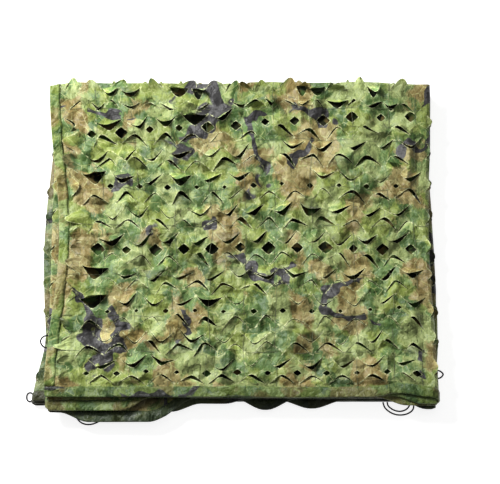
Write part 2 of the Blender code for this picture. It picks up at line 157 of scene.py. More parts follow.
# %% Routes of the loops
CORD_DIAMETER = 0.0024
LOOP_ROUTES = {
    "loop_front_left": (
        (-0.2436, -0.2453, 0.0014), (-0.2425, -0.2520, 0.0014), (-0.2388, -0.2586, 0.0014),
        (-0.2326, -0.2645, 0.0014), (-0.2237, -0.2670, 0.0014), (-0.2135, -0.2655, 0.0014),
        (-0.2040, -0.2600, 0.0014), (-0.2016, -0.2523, 0.0014),
    ),
    "loop_front_right_outer": (
        (0.2234, -0.2325, 0.0014), (0.2268, -0.2414, 0.0014), (0.2361, -0.2490, 0.0014),
        (0.2475, -0.2522, 0.0014), (0.2600, -0.2504, 0.0014), (0.2688, -0.2436, 0.0014),
        (0.2704, -0.2322, 0.0014),
    ),
    "loop_front_right_inner": (
        (0.2299, -0.2323, 0.0014), (0.2316, -0.2382, 0.0014), (0.2389, -0.2441, 0.0014),
        (0.2485, -0.2466, 0.0014), (0.2575, -0.2442, 0.0014), (0.2630, -0.2385, 0.0014),
        (0.2644, -0.2322, 0.0014),
    ),
    "loop_left": (
        (-0.2831, -0.1363, 0.0340), (-0.2885, -0.1370, 0.0335), (-0.2925, -0.1397, 0.0332),
        (-0.2948, -0.1440, 0.0330), (-0.2940, -0.1490, 0.0330), (-0.2900, -0.1540, 0.0335),
        (-0.2848, -0.1558, 0.0341),
    ),
    "loop_right": (
        (0.2977, -0.1817, 0.0014), (0.3052, -0.1824, 0.0014), (0.3113, -0.1845, 0.0014),
        (0.3150, -0.1890, 0.0014), (0.3115, -0.1938, 0.0014), (0.3055, -0.1958, 0.0014),
        (0.2981, -0.1966, 0.0014),
    ),
    "loop_corner": (
        (-0.3069, -0.2276, 0.0014), (-0.3087, -0.2302, 0.0014), (-0.3114, -0.2314, 0.0014),
        (-0.3142, -0.2302, 0.0014), (-0.3159, -0.2275, 0.0014), (-0.3162, -0.2240, 0.0014),
        (-0.3155, -0.2205, 0.0014), (-0.3133, -0.2182, 0.0014), (-0.3104, -0.2176, 0.0014),
        (-0.3080, -0.2189, 0.0014), (-0.3066, -0.2212, 0.0014),
    ),
}


# %% A smooth line through a route
def smooth_line(route, steps):
    """Points on the Catmull-Rom curve through a route."""
    points = [Vector(point) for point in route]
    points = [points[0] * 2 - points[1], *points, points[-1] * 2 - points[-2]]
    line = []
    for a, b, c, d in zip(points, points[1:], points[2:], points[3:]):
        for i in range(steps):
            s = i / steps
            bend = (2 * a - 5 * b + 4 * c - d) * s + (3 * b - a - 3 * c + d) * s * s
            line.append(b + (c - a + bend) * s / 2)
    return [*line, points[-2]]


# %% [markdown]
# A braid is strands that cross at a slant. Two sets of slanted bands, one for each way the strands
# run, give the bump. The cord is dull and nearly black.

# %% The braided cord's finish
cord_finish, tree, shader = new_material("black_braided_cord")
place_on_cord = add_node(tree, "TexCoord").outputs["Object"]
braid = []
for slant in (1, -1):
    turned = add_node(
        tree, "Mapping", {"Vector": place_on_cord, "Rotation": (0.0, 0.0, slant * math.pi / 4)}
    )
    bands = add_node(tree, "TexWave", {"Vector": turned.outputs[0], "Scale": 420.0})
    braid.append(bands.outputs["Fac"])
strands = calculate(tree, "MAXIMUM", *braid)
shade = over(tree, strands, (0.001, 0.001, 0.001), (0.005, 0.005, 0.005))
bump = add_node(tree, "Bump", {"Height": strands, "Strength": 0.5, "Distance": 0.0003})
tree.links.new(shade, shader.inputs["Base Color"])
tree.links.new(bump.outputs[0], shader.inputs["Normal"])
shader.inputs["Roughness"].default_value = 0.6
shader.inputs["Specular IOR Level"].default_value = 0.15

# %% Lay the loops
STEPS_PER_LEG = 5
for name, route in LOOP_ROUTES.items():
    line = smooth_line(route, STEPS_PER_LEG)
    curve = bpy.data.curves.new(name + "_cord", "CURVE")
    curve.dimensions = "3D"
    curve.bevel_depth = CORD_DIAMETER / 2
    curve.bevel_resolution = 3
    curve.use_fill_caps = True
    spline = curve.splines.new("POLY")
    spline.points.add(len(line) - 1)
    for point, co in zip(spline.points, line):
        point.co = (*co, 1.0)
        point.radius = 1.0
    curve.materials.append(cord_finish)
    loop = add_object(name + "_cord", curve)
    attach(loop, "root")
    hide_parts(name)

# %% [markdown]
# ## The folds
#
# All of the cloth is worked out flat, where u runs along the net and v across it, and then carried
# onto the folded pack by one function. That is how the real net got its shape too, so the leaves,
# the print and the stitching follow every fold by themselves. The sizes are those of the CAD model.

# %% Sizes of the folded net, in metres
PLY_RISE = 0.002  # a ply lies this far above or below the middle of its run
RUN_PITCH = 0.008
RUN_LENGTH = 0.588
PLY_WIDTH = 0.495
CLOTH = 0.001  # thickness of the CAD model's cloth
BINDING = 0.0006
BINDING_WIDTH = 0.015
SEAM_GAP = 0.0003
TURN_RADIUS = RUN_PITCH / 2
TURN_LENGTH = math.pi * TURN_RADIUS
RUN_STEP = RUN_LENGTH + TURN_LENGTH
FOLD_LENGTH = math.pi * PLY_RISE
NET_WIDTH = 2 * PLY_WIDTH + FOLD_LENGTH
BINDING_RISE = CLOTH / 2 + SEAM_GAP + BINDING / 2
BINDING_HALF = BINDING_RISE + BINDING / 2
HEM = BINDING_WIDTH + 0.001
PACK_CENTRE = np.array((-0.008402, -0.012275, 0.0))

# The pack's sides in order along the net: x at the front and back, bow and flare at the front.
SIDES = np.array(
    (
        (-0.2966, -0.2915, 0.0190, 0.0000),
        (0.2929, 0.2838, -0.0076, 0.0000),
        (-0.2885, -0.2765, 0.0000, 0.0000),
        (0.2975, 0.2747, 0.0015, -0.0100),
        (-0.2884, -0.2747, -0.0128, -0.0213),
        (0.2886, 0.2786, -0.0010, 0.0000),
    )
)
FLARE_DEPTH = 0.22
RUNS = len(SIDES) - 1
NET_LENGTH = RUNS * RUN_LENGTH + (RUNS - 1) * TURN_LENGTH

# y of the front hems: one row for each run, first of its ply A and then of its ply B.
HEM_Y = np.array(
    (
        (-0.2440, -0.2415),
        (-0.2400, -0.2425),
        (-0.2425, -0.2400),
        (-0.2430, -0.2410),
        (-0.2405, -0.2425),
    )
)
A, B = 0, 1
# Where a hem slips forward: run, ply, from x, to x, by how much.
TONGUES = (
    (0, A, -0.040, 0.030, -0.0030),
    (0, A, 0.195, 0.285, -0.0060),
    (0, A, 0.280, 0.360, 0.0060),
    (0, B, 0.230, 0.360, 0.0120),
    (1, B, -0.360, -0.135, 0.0205),
    (1, B, 0.205, 0.360, 0.0125),
    (1, A, -0.360, -0.135, 0.0190),
    (1, A, 0.225, 0.360, 0.0130),
    (2, A, -0.360, -0.070, 0.0215),
    (2, A, -0.275, -0.095, 0.0150),
    (2, A, 0.235, 0.360, 0.0165),
    (2, B, -0.360, 0.020, 0.0095),
    (2, B, -0.275, -0.060, 0.0125),
    (2, B, 0.235, 0.360, 0.0100),
    (3, B, -0.360, -0.256, 0.0035),
    (3, B, -0.010, 0.084, 0.0170),
    (3, B, 0.235, 0.360, 0.0080),
    (3, A, -0.360, -0.256, 0.0045),
    (3, A, 0.060, 0.154, 0.0120),
    (3, A, 0.235, 0.360, 0.0090),
    (4, A, -0.360, -0.256, 0.0060),
    (4, A, -0.262, -0.120, 0.0150),
    (4, B, -0.360, -0.240, 0.0015),
    (4, B, -0.360, -0.256, 0.0045),
    (4, B, -0.280, -0.110, 0.0200),
)
TONGUE_EDGE = 0.045
BACK_Y = np.array((0.2480, 0.2462, 0.2475, 0.2455, 0.2468))
BACK_WAVE = 0.0015
BACK_CORNER = 0.008
SWELL = 0.0022
print("the net is", round(NET_WIDTH, 3), "m by", round(NET_LENGTH, 3), "m flat")

# %% [markdown]
# The functions below take whole arrays of points, because the cloth has some eighty thousand of
# them and numpy works through them in one go.


# %% From the flat cloth to the pack
def smooth(share):
    """0 to 1 with soft ends."""
    share = np.clip(share, 0.0, 1.0)
    return share * share * (3.0 - 2.0 * share)


def side_x(side, depth):
    front, back, bow, flare = SIDES[side].T
    bowed = bow * np.sin(math.pi * depth) ** 2
    return front + (back - front) * depth + bowed + flare * smooth(1 - depth / FLARE_DEPTH)


def front_y(run, ply, x):
    y = HEM_Y[run, ply]
    for its_run, its_ply, start, end, reach in TONGUES:
        here = (run == its_run) & (ply == its_ply)
        y = y - here * reach * smooth((x - start) / TONGUE_EDGE) * smooth((end - x) / TONGUE_EDGE)
    return y


def back_y(run, x):
    wave = BACK_WAVE * np.sin(17 * x + 2.1 * run) + BACK_WAVE * np.sin(41 * x + run) / 2
    return BACK_Y[run] + wave - BACK_CORNER * (run == 0) * smooth(1 - (x + 0.30) / 0.05)


def run_height(run):
    return BINDING_HALF + PLY_RISE + RUN_PITCH * (RUNS - 1 - run)


def swell(x, y, z):
    """The soft rise and fall of the pack's top, fading to nothing at the floor."""
    wave = np.sin(9.5 * x + 0.8) * np.cos(7.0 * y - 0.4) + 0.5 * np.sin(21 * x - 13 * y)
    share = (z - BINDING_HALF) / (run_height(0) + PLY_RISE - BINDING_HALF)
    return SWELL * wave * np.maximum(0.0, share)


def locate(u):
    """The run that a length u along the net lies in, the share of it, and the angle of its turn."""
    run = np.clip((u / RUN_STEP).astype(int), 0, RUNS - 1)
    rest = u - run * RUN_STEP
    turned = np.where(run < RUNS - 1, np.maximum(0.0, rest - RUN_LENGTH), 0.0)
    return run, np.minimum(1.0, rest / RUN_LENGTH), turned / TURN_RADIUS


def section(v):
    """The depth from front to back, how far behind the fold and above the run, and the ply."""
    around = np.clip((v - PLY_WIDTH) / PLY_RISE, 0.0, math.pi)
    depth = np.minimum(1.0, np.minimum(v, NET_WIDTH - v) / PLY_WIDTH)
    ply = (around > math.pi / 2).astype(int)
    return depth, PLY_RISE * np.sin(around), PLY_RISE * np.cos(around), ply


def underside_sag(u, v):
    """The lowest ply sinks to lie on the floor between its hems."""
    from_ends = np.minimum(u - (RUNS - 1) * RUN_STEP, NET_LENGTH - u)
    from_hems = np.minimum(NET_WIDTH - v, v - PLY_WIDTH - FOLD_LENGTH)
    return (BINDING_HALF - CLOTH / 2) * smooth((np.minimum(from_ends, from_hems) - HEM) / 0.03)


def middle(u, v):
    """Points of the folded pack, as an array of rows x, y, z."""
    run, share, angle = locate(u)
    depth, behind, rise, ply = section(v)
    way = np.where(run % 2 == 0, 1.0, -1.0)
    following = np.minimum(run + 1, RUNS)
    here = side_x(run, depth)
    x = here + (side_x(following, depth) - here) * share + way * TURN_RADIUS * np.sin(angle)
    next_run = np.minimum(run + 1, RUNS - 1)
    turned = angle / math.pi
    front = front_y(run, ply, x)
    front = front + (front_y(next_run, ply, x) - front) * turned
    back = back_y(run, x)
    back = back + (back_y(next_run, x) - back) * turned
    y = front + (back - front) * depth + behind
    z = run_height(run) - TURN_RADIUS * (1 - np.cos(angle)) + way * np.cos(angle) * rise
    x = x + np.sin(angle) * rise
    z = z + swell(x, y, z) - underside_sag(u, v)
    return np.stack((x, y, z), axis=-1) - PACK_CENTRE


STEP = 0.0001  # the small step that a direction on the cloth is measured over


def unit(vectors):
    return vectors / np.linalg.norm(vectors, axis=-1, keepdims=True)


def directions(u, v):
    """Along the net, across it, and straight out of its face."""
    along = middle(np.minimum(u + STEP, NET_LENGTH), v) - middle(np.maximum(u - STEP, 0.0), v)
    across = middle(u, np.minimum(v + STEP, NET_WIDTH)) - middle(u, np.maximum(v - STEP, 0.0))
    along, across = unit(along), unit(across)
    return along, across, unit(np.cross(along, across))


corners = middle(np.array((0.0, RUN_LENGTH)), np.array((0.0, PLY_WIDTH)))
print("top run from", corners[0].round(3), "to", corners[1].round(3))

# %% [markdown]
# ## The leaf cuts
#
# A row of small diamond holes comes every ten centimetres. Between two such rows lie four rows of
# wide U cuts. A "valley" leaf hangs towards the front and a "peak" leaf stands towards the back.
# Each cut is kept as the middle of its hinge, the way its tip points, its size, and how far the
# leaf has been bent, curled, pulled back and slid aside. Those last numbers differ from leaf to
# leaf, for no two leaves of a crumpled net lie alike.

# %% Sizes of the cuts
PITCH = 0.0455
PERIOD = 0.0983
CUT_ROWS = (  # kind, hinge and tip as shares of a period before the next holes, columns' shift
    ("peak", 0.270, 0.085, 0.5),
    ("valley", 0.320, 0.495, 0.0),
    ("peak", 0.700, 0.515, 0.5),
    ("valley", 0.750, 0.925, 0.0),
)
HOLE_SIZES = (  # half sizes along u and v, row by row from the front
    (0.0060, 0.0045),
    (0.0045, 0.0035),
    (0.0105, 0.0090),
    (0.0050, 0.0040),
    (0.0085, 0.0075),
)
FIRST_HOLES = 0.0345
FIRST_COLUMN = 0.0165
CUT_HALF_WIDTH = 0.0203
LEFT_MARGIN = 0.058
RIGHT_MARGIN = 0.0225
STRAY = (0.0040, 0.0022)  # how far a cut strays from its place in the row, along u and v
CUT_SAMPLES, HINGE_SAMPLES = 25, 9  # points on a cut that are tried for room
UNLIKE = 0.13  # how far the cuts' sizes differ
CUT_GAP = 0.0018  # least cloth between two cuts
SIDE = 0.018  # and beside the binding at the left
TURN_OF_LEAF = 0.26  # greatest turn of a leaf in its plane, in radians
TIP_BOW = (0.08, 0.40)  # how round a cut's tip is, from a sharp V up
BROAD_BOW = (0.45, 1.1)  # at the folds
WARP = 0.004  # how far the rows waver
LEAN_FROM = 0.33
LEAN = 0.65
BACK_LEAF = 0.017
LEAF_TOP = 0.056  # leaves that would rise above this are pressed down
PRESSED = 0.75  # by this share of what is above it
NEAR = 0.025  # no leaf reaches further from the middle of its hinge
FAR = 0.06  # cuts whose hinges lie further apart can't meet
TALL_LEAVES = (0.034, 0.066, 0.106, 0.165, 0.214, 0.259, 0.292, 0.370, 0.483, 0.545)
# Hinge and way of the leaves beside the left binding: two of three point over it.
BESIDE_BINDING = ((0.0345, -1.0), (0.0345, -1.0), (0.0200, 1.0))

# Where the cloth lies smooth and its leaves stay shut: centre and half size in u and v.
CALMS = np.array(
    (
        (0.425, 0.135, 0.095, 0.052),
        (0.300, 0.085, 0.060, 0.036),
        (0.120, 0.110, 0.060, 0.026),
    )
)

Cut = namedtuple(
    "Cut",
    "u v to_u to_v half_width length bend curl pull slide twist arch ridge bow",
    defaults=(*[0.0] * 7, 0.4),
)
layout = random.Random(7)
mood = random.Random(11)
draw = mood.uniform


# %% Where the cuts lie
def calmness(u, v):
    """1 in the middle of a smooth area, 0 outside all of them."""
    reach = ((u - CALMS[:, 0]) / CALMS[:, 2]) ** 2 + ((v - CALMS[:, 1]) / CALMS[:, 3]) ** 2
    return float(smooth((1.25 - reach.min()) / 0.5))


def columns(shift):
    first = FIRST_COLUMN + (shift % 1.0) * PITCH
    every = [first + i * PITCH for i in range(int(RUN_LENGTH / PITCH) + 1)]
    return [u for u in every if LEFT_MARGIN < u < RUN_LENGTH - RIGHT_MARGIN]


def noise_at(u, v, size, layer):
    points = zip((u / size).tolist(), (v / size).tolist())
    return np.array([noise.noise((a, b, layer)) for a, b in points])


def lean(u, v):
    """The rows slope back to the right behind, and waver."""
    u, v = np.atleast_1d(u), np.atleast_1d(v)
    slope = LEAN * (u - RUN_LENGTH / 2) * np.maximum(0.0, v - LEAN_FROM)
    return slope + WARP * noise_at(u, v, 0.08, 2.2)


def leaf(kind, u, v, length, freedom):
    """One leaf of the top ply, in a mood of its own."""
    loose = 1.0 - 0.93 * calmness(u, v)
    wild = mood.random() ** 2
    # the left side and the back are more rumpled
    messy = float(max(smooth((0.075 - u) / 0.03), 0.8 * smooth((v - 0.42) / 0.03)))
    way = -1.0 if kind == "valley" else 1.0
    slide = draw(-0.0080, 0.0015) * loose
    twist = draw(-0.12, 0.60) * (loose + messy) * way
    pull = 0.0004 + 0.0042 * wild * loose
    ridge = draw(-0.20, 0.60) * (loose + messy)
    if kind == "valley":
        bend = draw(0.0, 0.26 + 0.45 * wild) * loose + draw(0.0, 1.0) * messy
        curl = draw(-0.60, 0.30 + 0.6 * wild) * loose + draw(0.0, 1.2) * messy
        arch = draw(-0.0016, 0.0010) * loose
    else:
        bend = draw(-0.05, 0.42) * loose + draw(0.0, 0.7) * messy
        curl = draw(-0.70, 0.20) * loose + draw(0.0, 1.0) * messy
        arch = draw(-0.0010, 0.0046) * loose
    turn = draw(-TURN_OF_LEAF, TURN_OF_LEAF) * freedom
    half_width = CUT_HALF_WIDTH * (1 + draw(-UNLIKE, UNLIKE) * freedom)
    length *= 1 + draw(-UNLIKE, UNLIKE) * freedom
    return Cut(u, v, math.sin(turn), way * math.cos(turn), half_width, length, bend, curl, pull,
               slide * way, twist, arch, ridge, draw(*TIP_BOW))


def cut_share(cut, across):
    """How far a cut reaches towards its tip, from 0 at its ends to 1."""
    steep = math.sqrt(1 + cut.bow**2)
    return (steep - np.sqrt(across**2 + cut.bow**2)) / (steep - cut.bow)


def to_flat(cut, across, reach):
    """The flat point (u, v) at a place on the leaf: across its hinge from -1 to 1, and reach."""
    aside = across * cut.half_width
    return cut.u + cut.to_u * reach + cut.to_v * aside, cut.v + cut.to_v * reach - cut.to_u * aside


def from_flat(cut, u, v):
    """The inverse of to_flat."""
    aside = (u - cut.u) * cut.to_v - (v - cut.v) * cut.to_u
    return aside / cut.half_width, (u - cut.u) * cut.to_u + (v - cut.v) * cut.to_v


def around(cut, u, v, reach_v=NEAR):
    """The points that may lie on a leaf, and their places on it."""
    near = np.flatnonzero((abs(u - cut.u) < NEAR) & (abs(v - cut.v) < reach_v))
    return near, *from_flat(cut, u[near], v[near])


def too_near(cut, others):
    """True if a cut comes near the sides of the top ply, or its leaf near another leaf."""
    across = np.concatenate(
        (np.linspace(-1.0, 1.0, CUT_SAMPLES), np.linspace(0.8, -0.8, HINGE_SAMPLES))
    )
    is_hinge = np.arange(len(across)) >= CUT_SAMPLES

    def line(one):
        reach = np.where(is_hinge, 0.0, one.length * cut_share(one, across))
        return np.stack(to_flat(one, across, reach), axis=-1)

    its = line(cut)
    if its[:, 0].min() < SIDE or its[:, 0].max() > RUN_LENGTH - SIDE / 5:
        return True
    for other in others:
        if math.hypot(other.u - cut.u, other.v - cut.v) < FAR:
            apart = its[:, None] - line(other)[None]
            if np.hypot(apart[..., 0], apart[..., 1]).min() < CUT_GAP:
                return True
    return False


def leaf_rows():
    """The leaves of the top ply, row by row from the front."""
    cuts = []
    for u in columns(0.5):
        cuts.append(leaf("peak", u, HEM + 0.0030, 0.0135, 0.1))
    highest = PLY_WIDTH - BACK_LEAF - 0.024
    for index in range(1, len(HOLE_SIZES) + 1):
        holes_v = FIRST_HOLES + index * PERIOD
        for kind, ends, tip, column in CUT_ROWS:
            for u in columns(column + index / 2):
                row_v = holes_v - ends * PERIOD
                row_v += float(lean(u, row_v)[0])
                length = abs(ends - tip) * PERIOD
                reach = (row_v, row_v + (ends - tip) * PERIOD)
                if min(reach) < HEM + 0.006 or max(reach) > highest:
                    continue
                for freedom in np.linspace(1.0, 0.1, 24):
                    stray_u, stray_v = (layout.uniform(-stray, stray) * freedom for stray in STRAY)
                    cut = leaf(kind, u + stray_u, row_v + stray_v, length, freedom)
                    if not too_near(cut, cuts):
                        cuts.append(cut)
                        break
    return cuts


top_leaves = leaf_rows()
print(len(top_leaves), "leaves on the top ply")

# %% [markdown]
# The doubled edge at the back shows a fringe. Where a leaf's tip comes to a fold, the cloth turns
# down but the leaf goes on straight, so it stands out and curls. Others stand up from the hole they
# leave, and a rumpled row lies in front of them. The same happens at the turns on both sides, and
# beside the binding at the left leaves curl over the seam. A negative pull draws a leaf out longer
# than its cut: a real leaf would shift with the cloth round it, and this stands in for that. The
# ply right under the top one has leaves too, which lie flat and show only through the holes.


# %% Leaves at the folds and under the top ply
def standing_leaf(u, v, half_width):
    """A leaf with its hinge by the doubled edge that stands up from the hole it leaves."""
    return Cut(u, v, 0.0, -1.0, half_width, draw(0.0145, 0.0190),
               draw(0.5, 1.6), draw(-1.2, 1.6), 0.0, draw(-0.008, 0.008),
               draw(-0.8, 0.8), 0.0, draw(-0.6, 0.6), draw(*BROAD_BOW))


def leaf_over_the_fold(u, fold_v, to_v, half_width, on_top, tall=0.0):
    """A leaf that goes on straight where the cloth turns down."""
    bow = draw(*BROAD_BOW)
    if on_top:
        foot = draw(0.007, 0.016) - 0.004 * tall
        length = min(draw(0.018, 0.027), foot + FOLD_LENGTH - 0.001)
        return Cut(u, fold_v - foot, 0.0, to_v, half_width, length,
                   draw(-0.1, 0.7 - 0.3 * tall), draw(-1.0, 1.6 - 1.2 * tall),
                   -draw(0.0, 0.003) - 0.004 * tall, draw(-0.009, 0.009),
                   draw(-0.7, 0.7), 0.0, draw(-0.7, 0.7), bow)
    before = draw(0.014, 0.020)
    return Cut(u, fold_v - to_v * before, 0.0, to_v, half_width, before - 0.0005,
               draw(-0.03, 0.03), draw(-0.1, 0.15), -draw(0.002, 0.010), draw(-0.004, 0.004),
               bow=bow)


def rumpled_leaf(u, v, half_width):
    """A leaf in front of the doubled edge that the fold has pushed up."""
    way = mood.choice((-1.0, 1.0))
    length = draw(0.011, 0.014)
    return Cut(u, v - way * length / 2, 0.0, way, half_width, length, draw(0.0, 0.8),
               draw(-0.6, 1.0), 0.0, draw(-0.007, 0.007), draw(-0.9, 0.9),
               0.0, draw(-0.6, 0.6), draw(*TIP_BOW))


def fringe_leaves():
    cuts = []
    for u in TALL_LEAVES:
        cut = leaf_over_the_fold(u, PLY_WIDTH, 1.0, draw(0.011, 0.018), True, 1.0)
        if not too_near(cut, cuts):
            cuts.append(cut)
    u = 0.045
    while u < RUN_LENGTH - 0.030:
        cut = rumpled_leaf(u, PLY_WIDTH - 0.034 + draw(-0.004, 0.002),
                           draw(0.009, 0.020))
        if not too_near(cut, cuts + top_leaves):
            cuts.append(cut)
        u += draw(0.002, 0.012)
    for run in range(RUNS):
        start = run * RUN_STEP
        for to_v, fold_v in ((1.0, PLY_WIDTH), (-1.0, PLY_WIDTH + FOLD_LENGTH)):
            on_top = run == 0 and to_v > 0
            end = 0.018
            while end < RUN_LENGTH - 0.045:
                half_width = draw(0.0070, 0.0160)
                u = end + half_width + draw(0.0, 0.0030 if on_top else 0.030)
                if on_top and mood.random() < (0.65 if u < 0.24 else 0.40):
                    cut = standing_leaf(u, PLY_WIDTH - draw(0.003, 0.007), half_width)
                else:
                    cut = leaf_over_the_fold(start + u, fold_v, to_v, half_width, on_top)
                if on_top and too_near(cut, cuts + top_leaves):
                    end += 0.0012  # no room here, so the next try is a little further on
                else:
                    cuts.append(cut)
                    end = u + half_width
    return cuts


def clear_of(cuts, cut):
    """True if the box round this cut is free of the others'."""

    def box_of(one):
        box = to_flat(one, np.array((-1.0, 1.0, 0.0)), np.array((0.0, 0.0, one.length)))
        return np.array([line.min() for line in box]), np.array([line.max() for line in box])

    low, high = box_of(cut)
    boxes = map(box_of, cuts)
    return all(max(*(low - its_high), *(its_low - high)) >= CUT_GAP for its_low, its_high in boxes)


def end_leaves(others):
    """Curled leaves beside the binding of the net's end, in the room that the others leave."""
    cuts = []
    v = 0.030
    while v < PLY_WIDTH - 0.02:
        half_width = draw(0.0110, 0.0180)
        hinge_u, to_u = mood.choice(BESIDE_BINDING)
        pull = draw(-0.014, -0.006) if to_u < 0 else draw(-0.004, 0.0)  # drawn out
        cut = Cut(hinge_u, v, to_u, 0.0, half_width, draw(0.012, 0.0165),
                  draw(0.1, 0.8), draw(-1.2, 0.6), pull,
                  draw(-0.007, 0.007), draw(-0.8, 0.8), 0.0,
                  draw(-0.6, 0.6), draw(*BROAD_BOW))
        if clear_of(others + cuts, cut):
            cuts.append(cut)
        v += 0.002
    return cuts


def turn_leaves():
    cuts = []
    for run in range(RUNS - 1):
        hinge_u = run * RUN_STEP + RUN_LENGTH - 0.0005
        for i in range(9):
            v = HEM + 0.026 + i * PERIOD / 2 + draw(-0.008, 0.008)
            for ply_v in (v, NET_WIDTH - v):
                length = TURN_LENGTH * draw(0.55, 0.85)
                cuts.append(Cut(hinge_u, ply_v, 1.0, 0.0, draw(0.010, 0.014), length,
                                draw(-0.05, 0.02), draw(0.1, 0.6), slide=draw(-0.001, 0.001)))
    return cuts


def under_leaves():
    """The leaves of the second ply, open and flat."""
    cuts = []
    for row in range(2, 19):
        v = NET_WIDTH - (row * PERIOD / 4 + 0.002)
        for u in columns(row / 2 + 0.25):
            length = draw(0.012, 0.015)
            to_v = 1.0 if row % 2 else -1.0
            cuts.append(Cut(u + draw(-0.004, 0.004), v, 0.0, to_v, 0.015, length,
                            pull=draw(0.003, 0.008)))
    return cuts


# %% [markdown]
# ### The shape of one cut
#
# Seen flat, a cut is a V with a rounded tip: straight arms that meet in a bow. A hyperbola has just
# that shape. The leaf's edge lies a hair inside the cut, which leaves a sliver that is taken out of
# the cloth. When the leaf then moves, the sliver opens into a gap.

# %% Outlines of the cuts
SLIVER = 0.0012
CUT_SEGMENTS = 12


def cut_outline(cut):
    """The sliver of a cut, as flat points: out along the cloth's edge, back along the leaf's."""
    across = np.linspace(-1.0, 1.0, CUT_SEGMENTS + 1)
    share = cut_share(cut, across)
    shore = to_flat(cut, across, cut.length * share)
    tip = to_flat(cut, across[-2:0:-1], (cut.length - SLIVER) * share[-2:0:-1])
    return np.stack([np.concatenate(pair) for pair in zip(shore, tip)], axis=-1)


def hole_outlines():
    """The diamond holes of the top ply, with round corners."""
    outlines = []
    turn = np.linspace(0.0, 2 * math.pi, 16, endpoint=False)
    bow = 0.72
    for index, (half_width, half_depth) in enumerate(HOLE_SIZES):
        v = FIRST_HOLES + index * PERIOD
        for u in columns(index / 2):
            size = draw(0.72, 1.28)
            diamond = np.abs(np.cos(turn)) + np.abs(np.sin(turn))
            radius = size * (bow / diamond + (1 - bow) * 0.8)
            ring = (u + draw(-0.001, 0.001) + half_width * radius * np.cos(turn),
                    v + lean(u, v) + half_depth * radius * np.sin(turn))
            outlines.append(np.stack(ring, axis=-1))
    return outlines


def anticlockwise(outline):
    x, y = outline.T
    area = np.sum(x * np.roll(y, -1) - y * np.roll(x, -1))
    return outline if area > 0 else outline[::-1]


leaves = top_leaves + fringe_leaves() + turn_leaves() + under_leaves()
leaves += end_leaves(top_leaves + [cut for cut in leaves if cut.u < RUN_LENGTH])
print(len(leaves), "leaves in all")
outlines = [*map(anticlockwise, [*map(cut_outline, leaves), *hole_outlines()])]
print(len(outlines), "outlines,", sum(map(len, outlines)), "points")

# %% [markdown]
# ### Cutting the flat cloth into triangles
#
# The cloth needs small triangles where it shows and may have large ones inside the pack. A
# constrained Delaunay triangulation takes any set of points and keeps the given outlines as edges.
# Points that fall too near a cut are dropped first, because they would make splinters.

# %% Points of the flat cloth
FINE = 0.0027  # spacing on the top ply
MEDIUM = 0.007  # on the ply under it
COARSE = 0.015  # inside the pack
TURN_STEPS = 5
LINE_STEP = 0.0035  # along the edges and folds
CLEAR_OF_CUT = 0.0016
CLEAR_OF_SPINE = 0.0011
CLEAR_OF_HOLE = 0.0008


def grid_points(u_range, v_range, spacing):
    """A slightly shaken grid that fills a rectangle of the flat cloth, its border left out."""
    counts = [max(1, round((end - start) / spacing)) for start, end in (u_range, v_range)]
    us = np.linspace(*u_range, counts[0] + 1)[1:-1]
    vs = np.linspace(*v_range, counts[1] + 1)[1:-1]
    grid = np.stack(np.meshgrid(us, vs, indexing="ij"), axis=-1)
    grid[1::2, :, 1] += spacing / 2 * (grid[1::2, :, 1] < v_range[1] - spacing)
    grid = grid.reshape(-1, 2)
    return grid + shake.uniform(-0.2, 0.2, grid.shape) * spacing


def line_points(start, end, spacing):
    count = max(1, math.ceil(math.dist(start, end) / spacing))
    return np.linspace(start, end, count + 1)


shake = np.random.default_rng(5)
plies = {"A": (0.0, PLY_WIDTH), "B": (PLY_WIDTH + FOLD_LENGTH, NET_WIDTH)}
parts = []
for run in range(RUNS):
    u_range = (run * RUN_STEP, run * RUN_STEP + RUN_LENGTH)
    for ply, v_range in plies.items():
        spacing = COARSE if run else {"A": FINE, "B": MEDIUM}[ply]
        parts.append(grid_points(u_range, v_range, spacing))
turn_us = [
    run * RUN_STEP + RUN_LENGTH + TURN_LENGTH * i / TURN_STEPS
    for run in range(RUNS - 1)
    for i in range(TURN_STEPS + 1)
]
fold_vs = [PLY_WIDTH + FOLD_LENGTH * i / TURN_STEPS for i in range(TURN_STEPS + 1)]
for u in (0.0, *turn_us, NET_LENGTH):
    parts.append(line_points((u, 0.0), (u, NET_WIDTH), LINE_STEP))
for v in (0.0, HEM / 2, HEM, *fold_vs, NET_WIDTH - HEM, NET_WIDTH - HEM / 2, NET_WIDTH):
    parts.append(line_points((0.0, v), (NET_LENGTH, v), LINE_STEP))
loose_points = np.concatenate(parts)
print(len(loose_points), "points before the cuts")


# %% Triangulate round the cuts
def keep_clear(points, cuts, holes):
    """Drops the points that lie too near a cut or in a hole."""
    kept = np.ones(len(points), bool)
    for cut in cuts:
        near, across, reach = around(cut, *points.T)
        gap = np.abs(reach - cut.length * cut_share(cut, across))
        kept[near[(np.abs(across) < 1.06) & (gap < CLEAR_OF_CUT)]] = False
        from_spine = np.abs(across) * cut.half_width
        on_spine = (from_spine < CLEAR_OF_SPINE) & (reach > 0) & (reach < cut.length)
        kept[near[on_spine]] = False
    for outline in holes:
        centre, half = outline.mean(0), np.ptp(outline, axis=0) / 2
        kept[(np.abs((points - centre) / (half + CLEAR_OF_HOLE)).sum(1) < 1.15)] = False
    return points[kept]


def spines(cuts):
    """Points along the middle line of each leaf, where it may have a ridge."""
    shares = np.array((0.12, 0.34, 0.56, 0.76))
    points = [to_flat(cut, 0.0, cut.length * shares) for cut in cuts]
    return np.concatenate([np.stack(pair, axis=-1) for pair in points])


def is_border(points):
    u, v = points.T
    return (u < 1e-9) | (v < 1e-9) | (u > NET_LENGTH - 1e-9) | (v > NET_WIDTH - 1e-9)


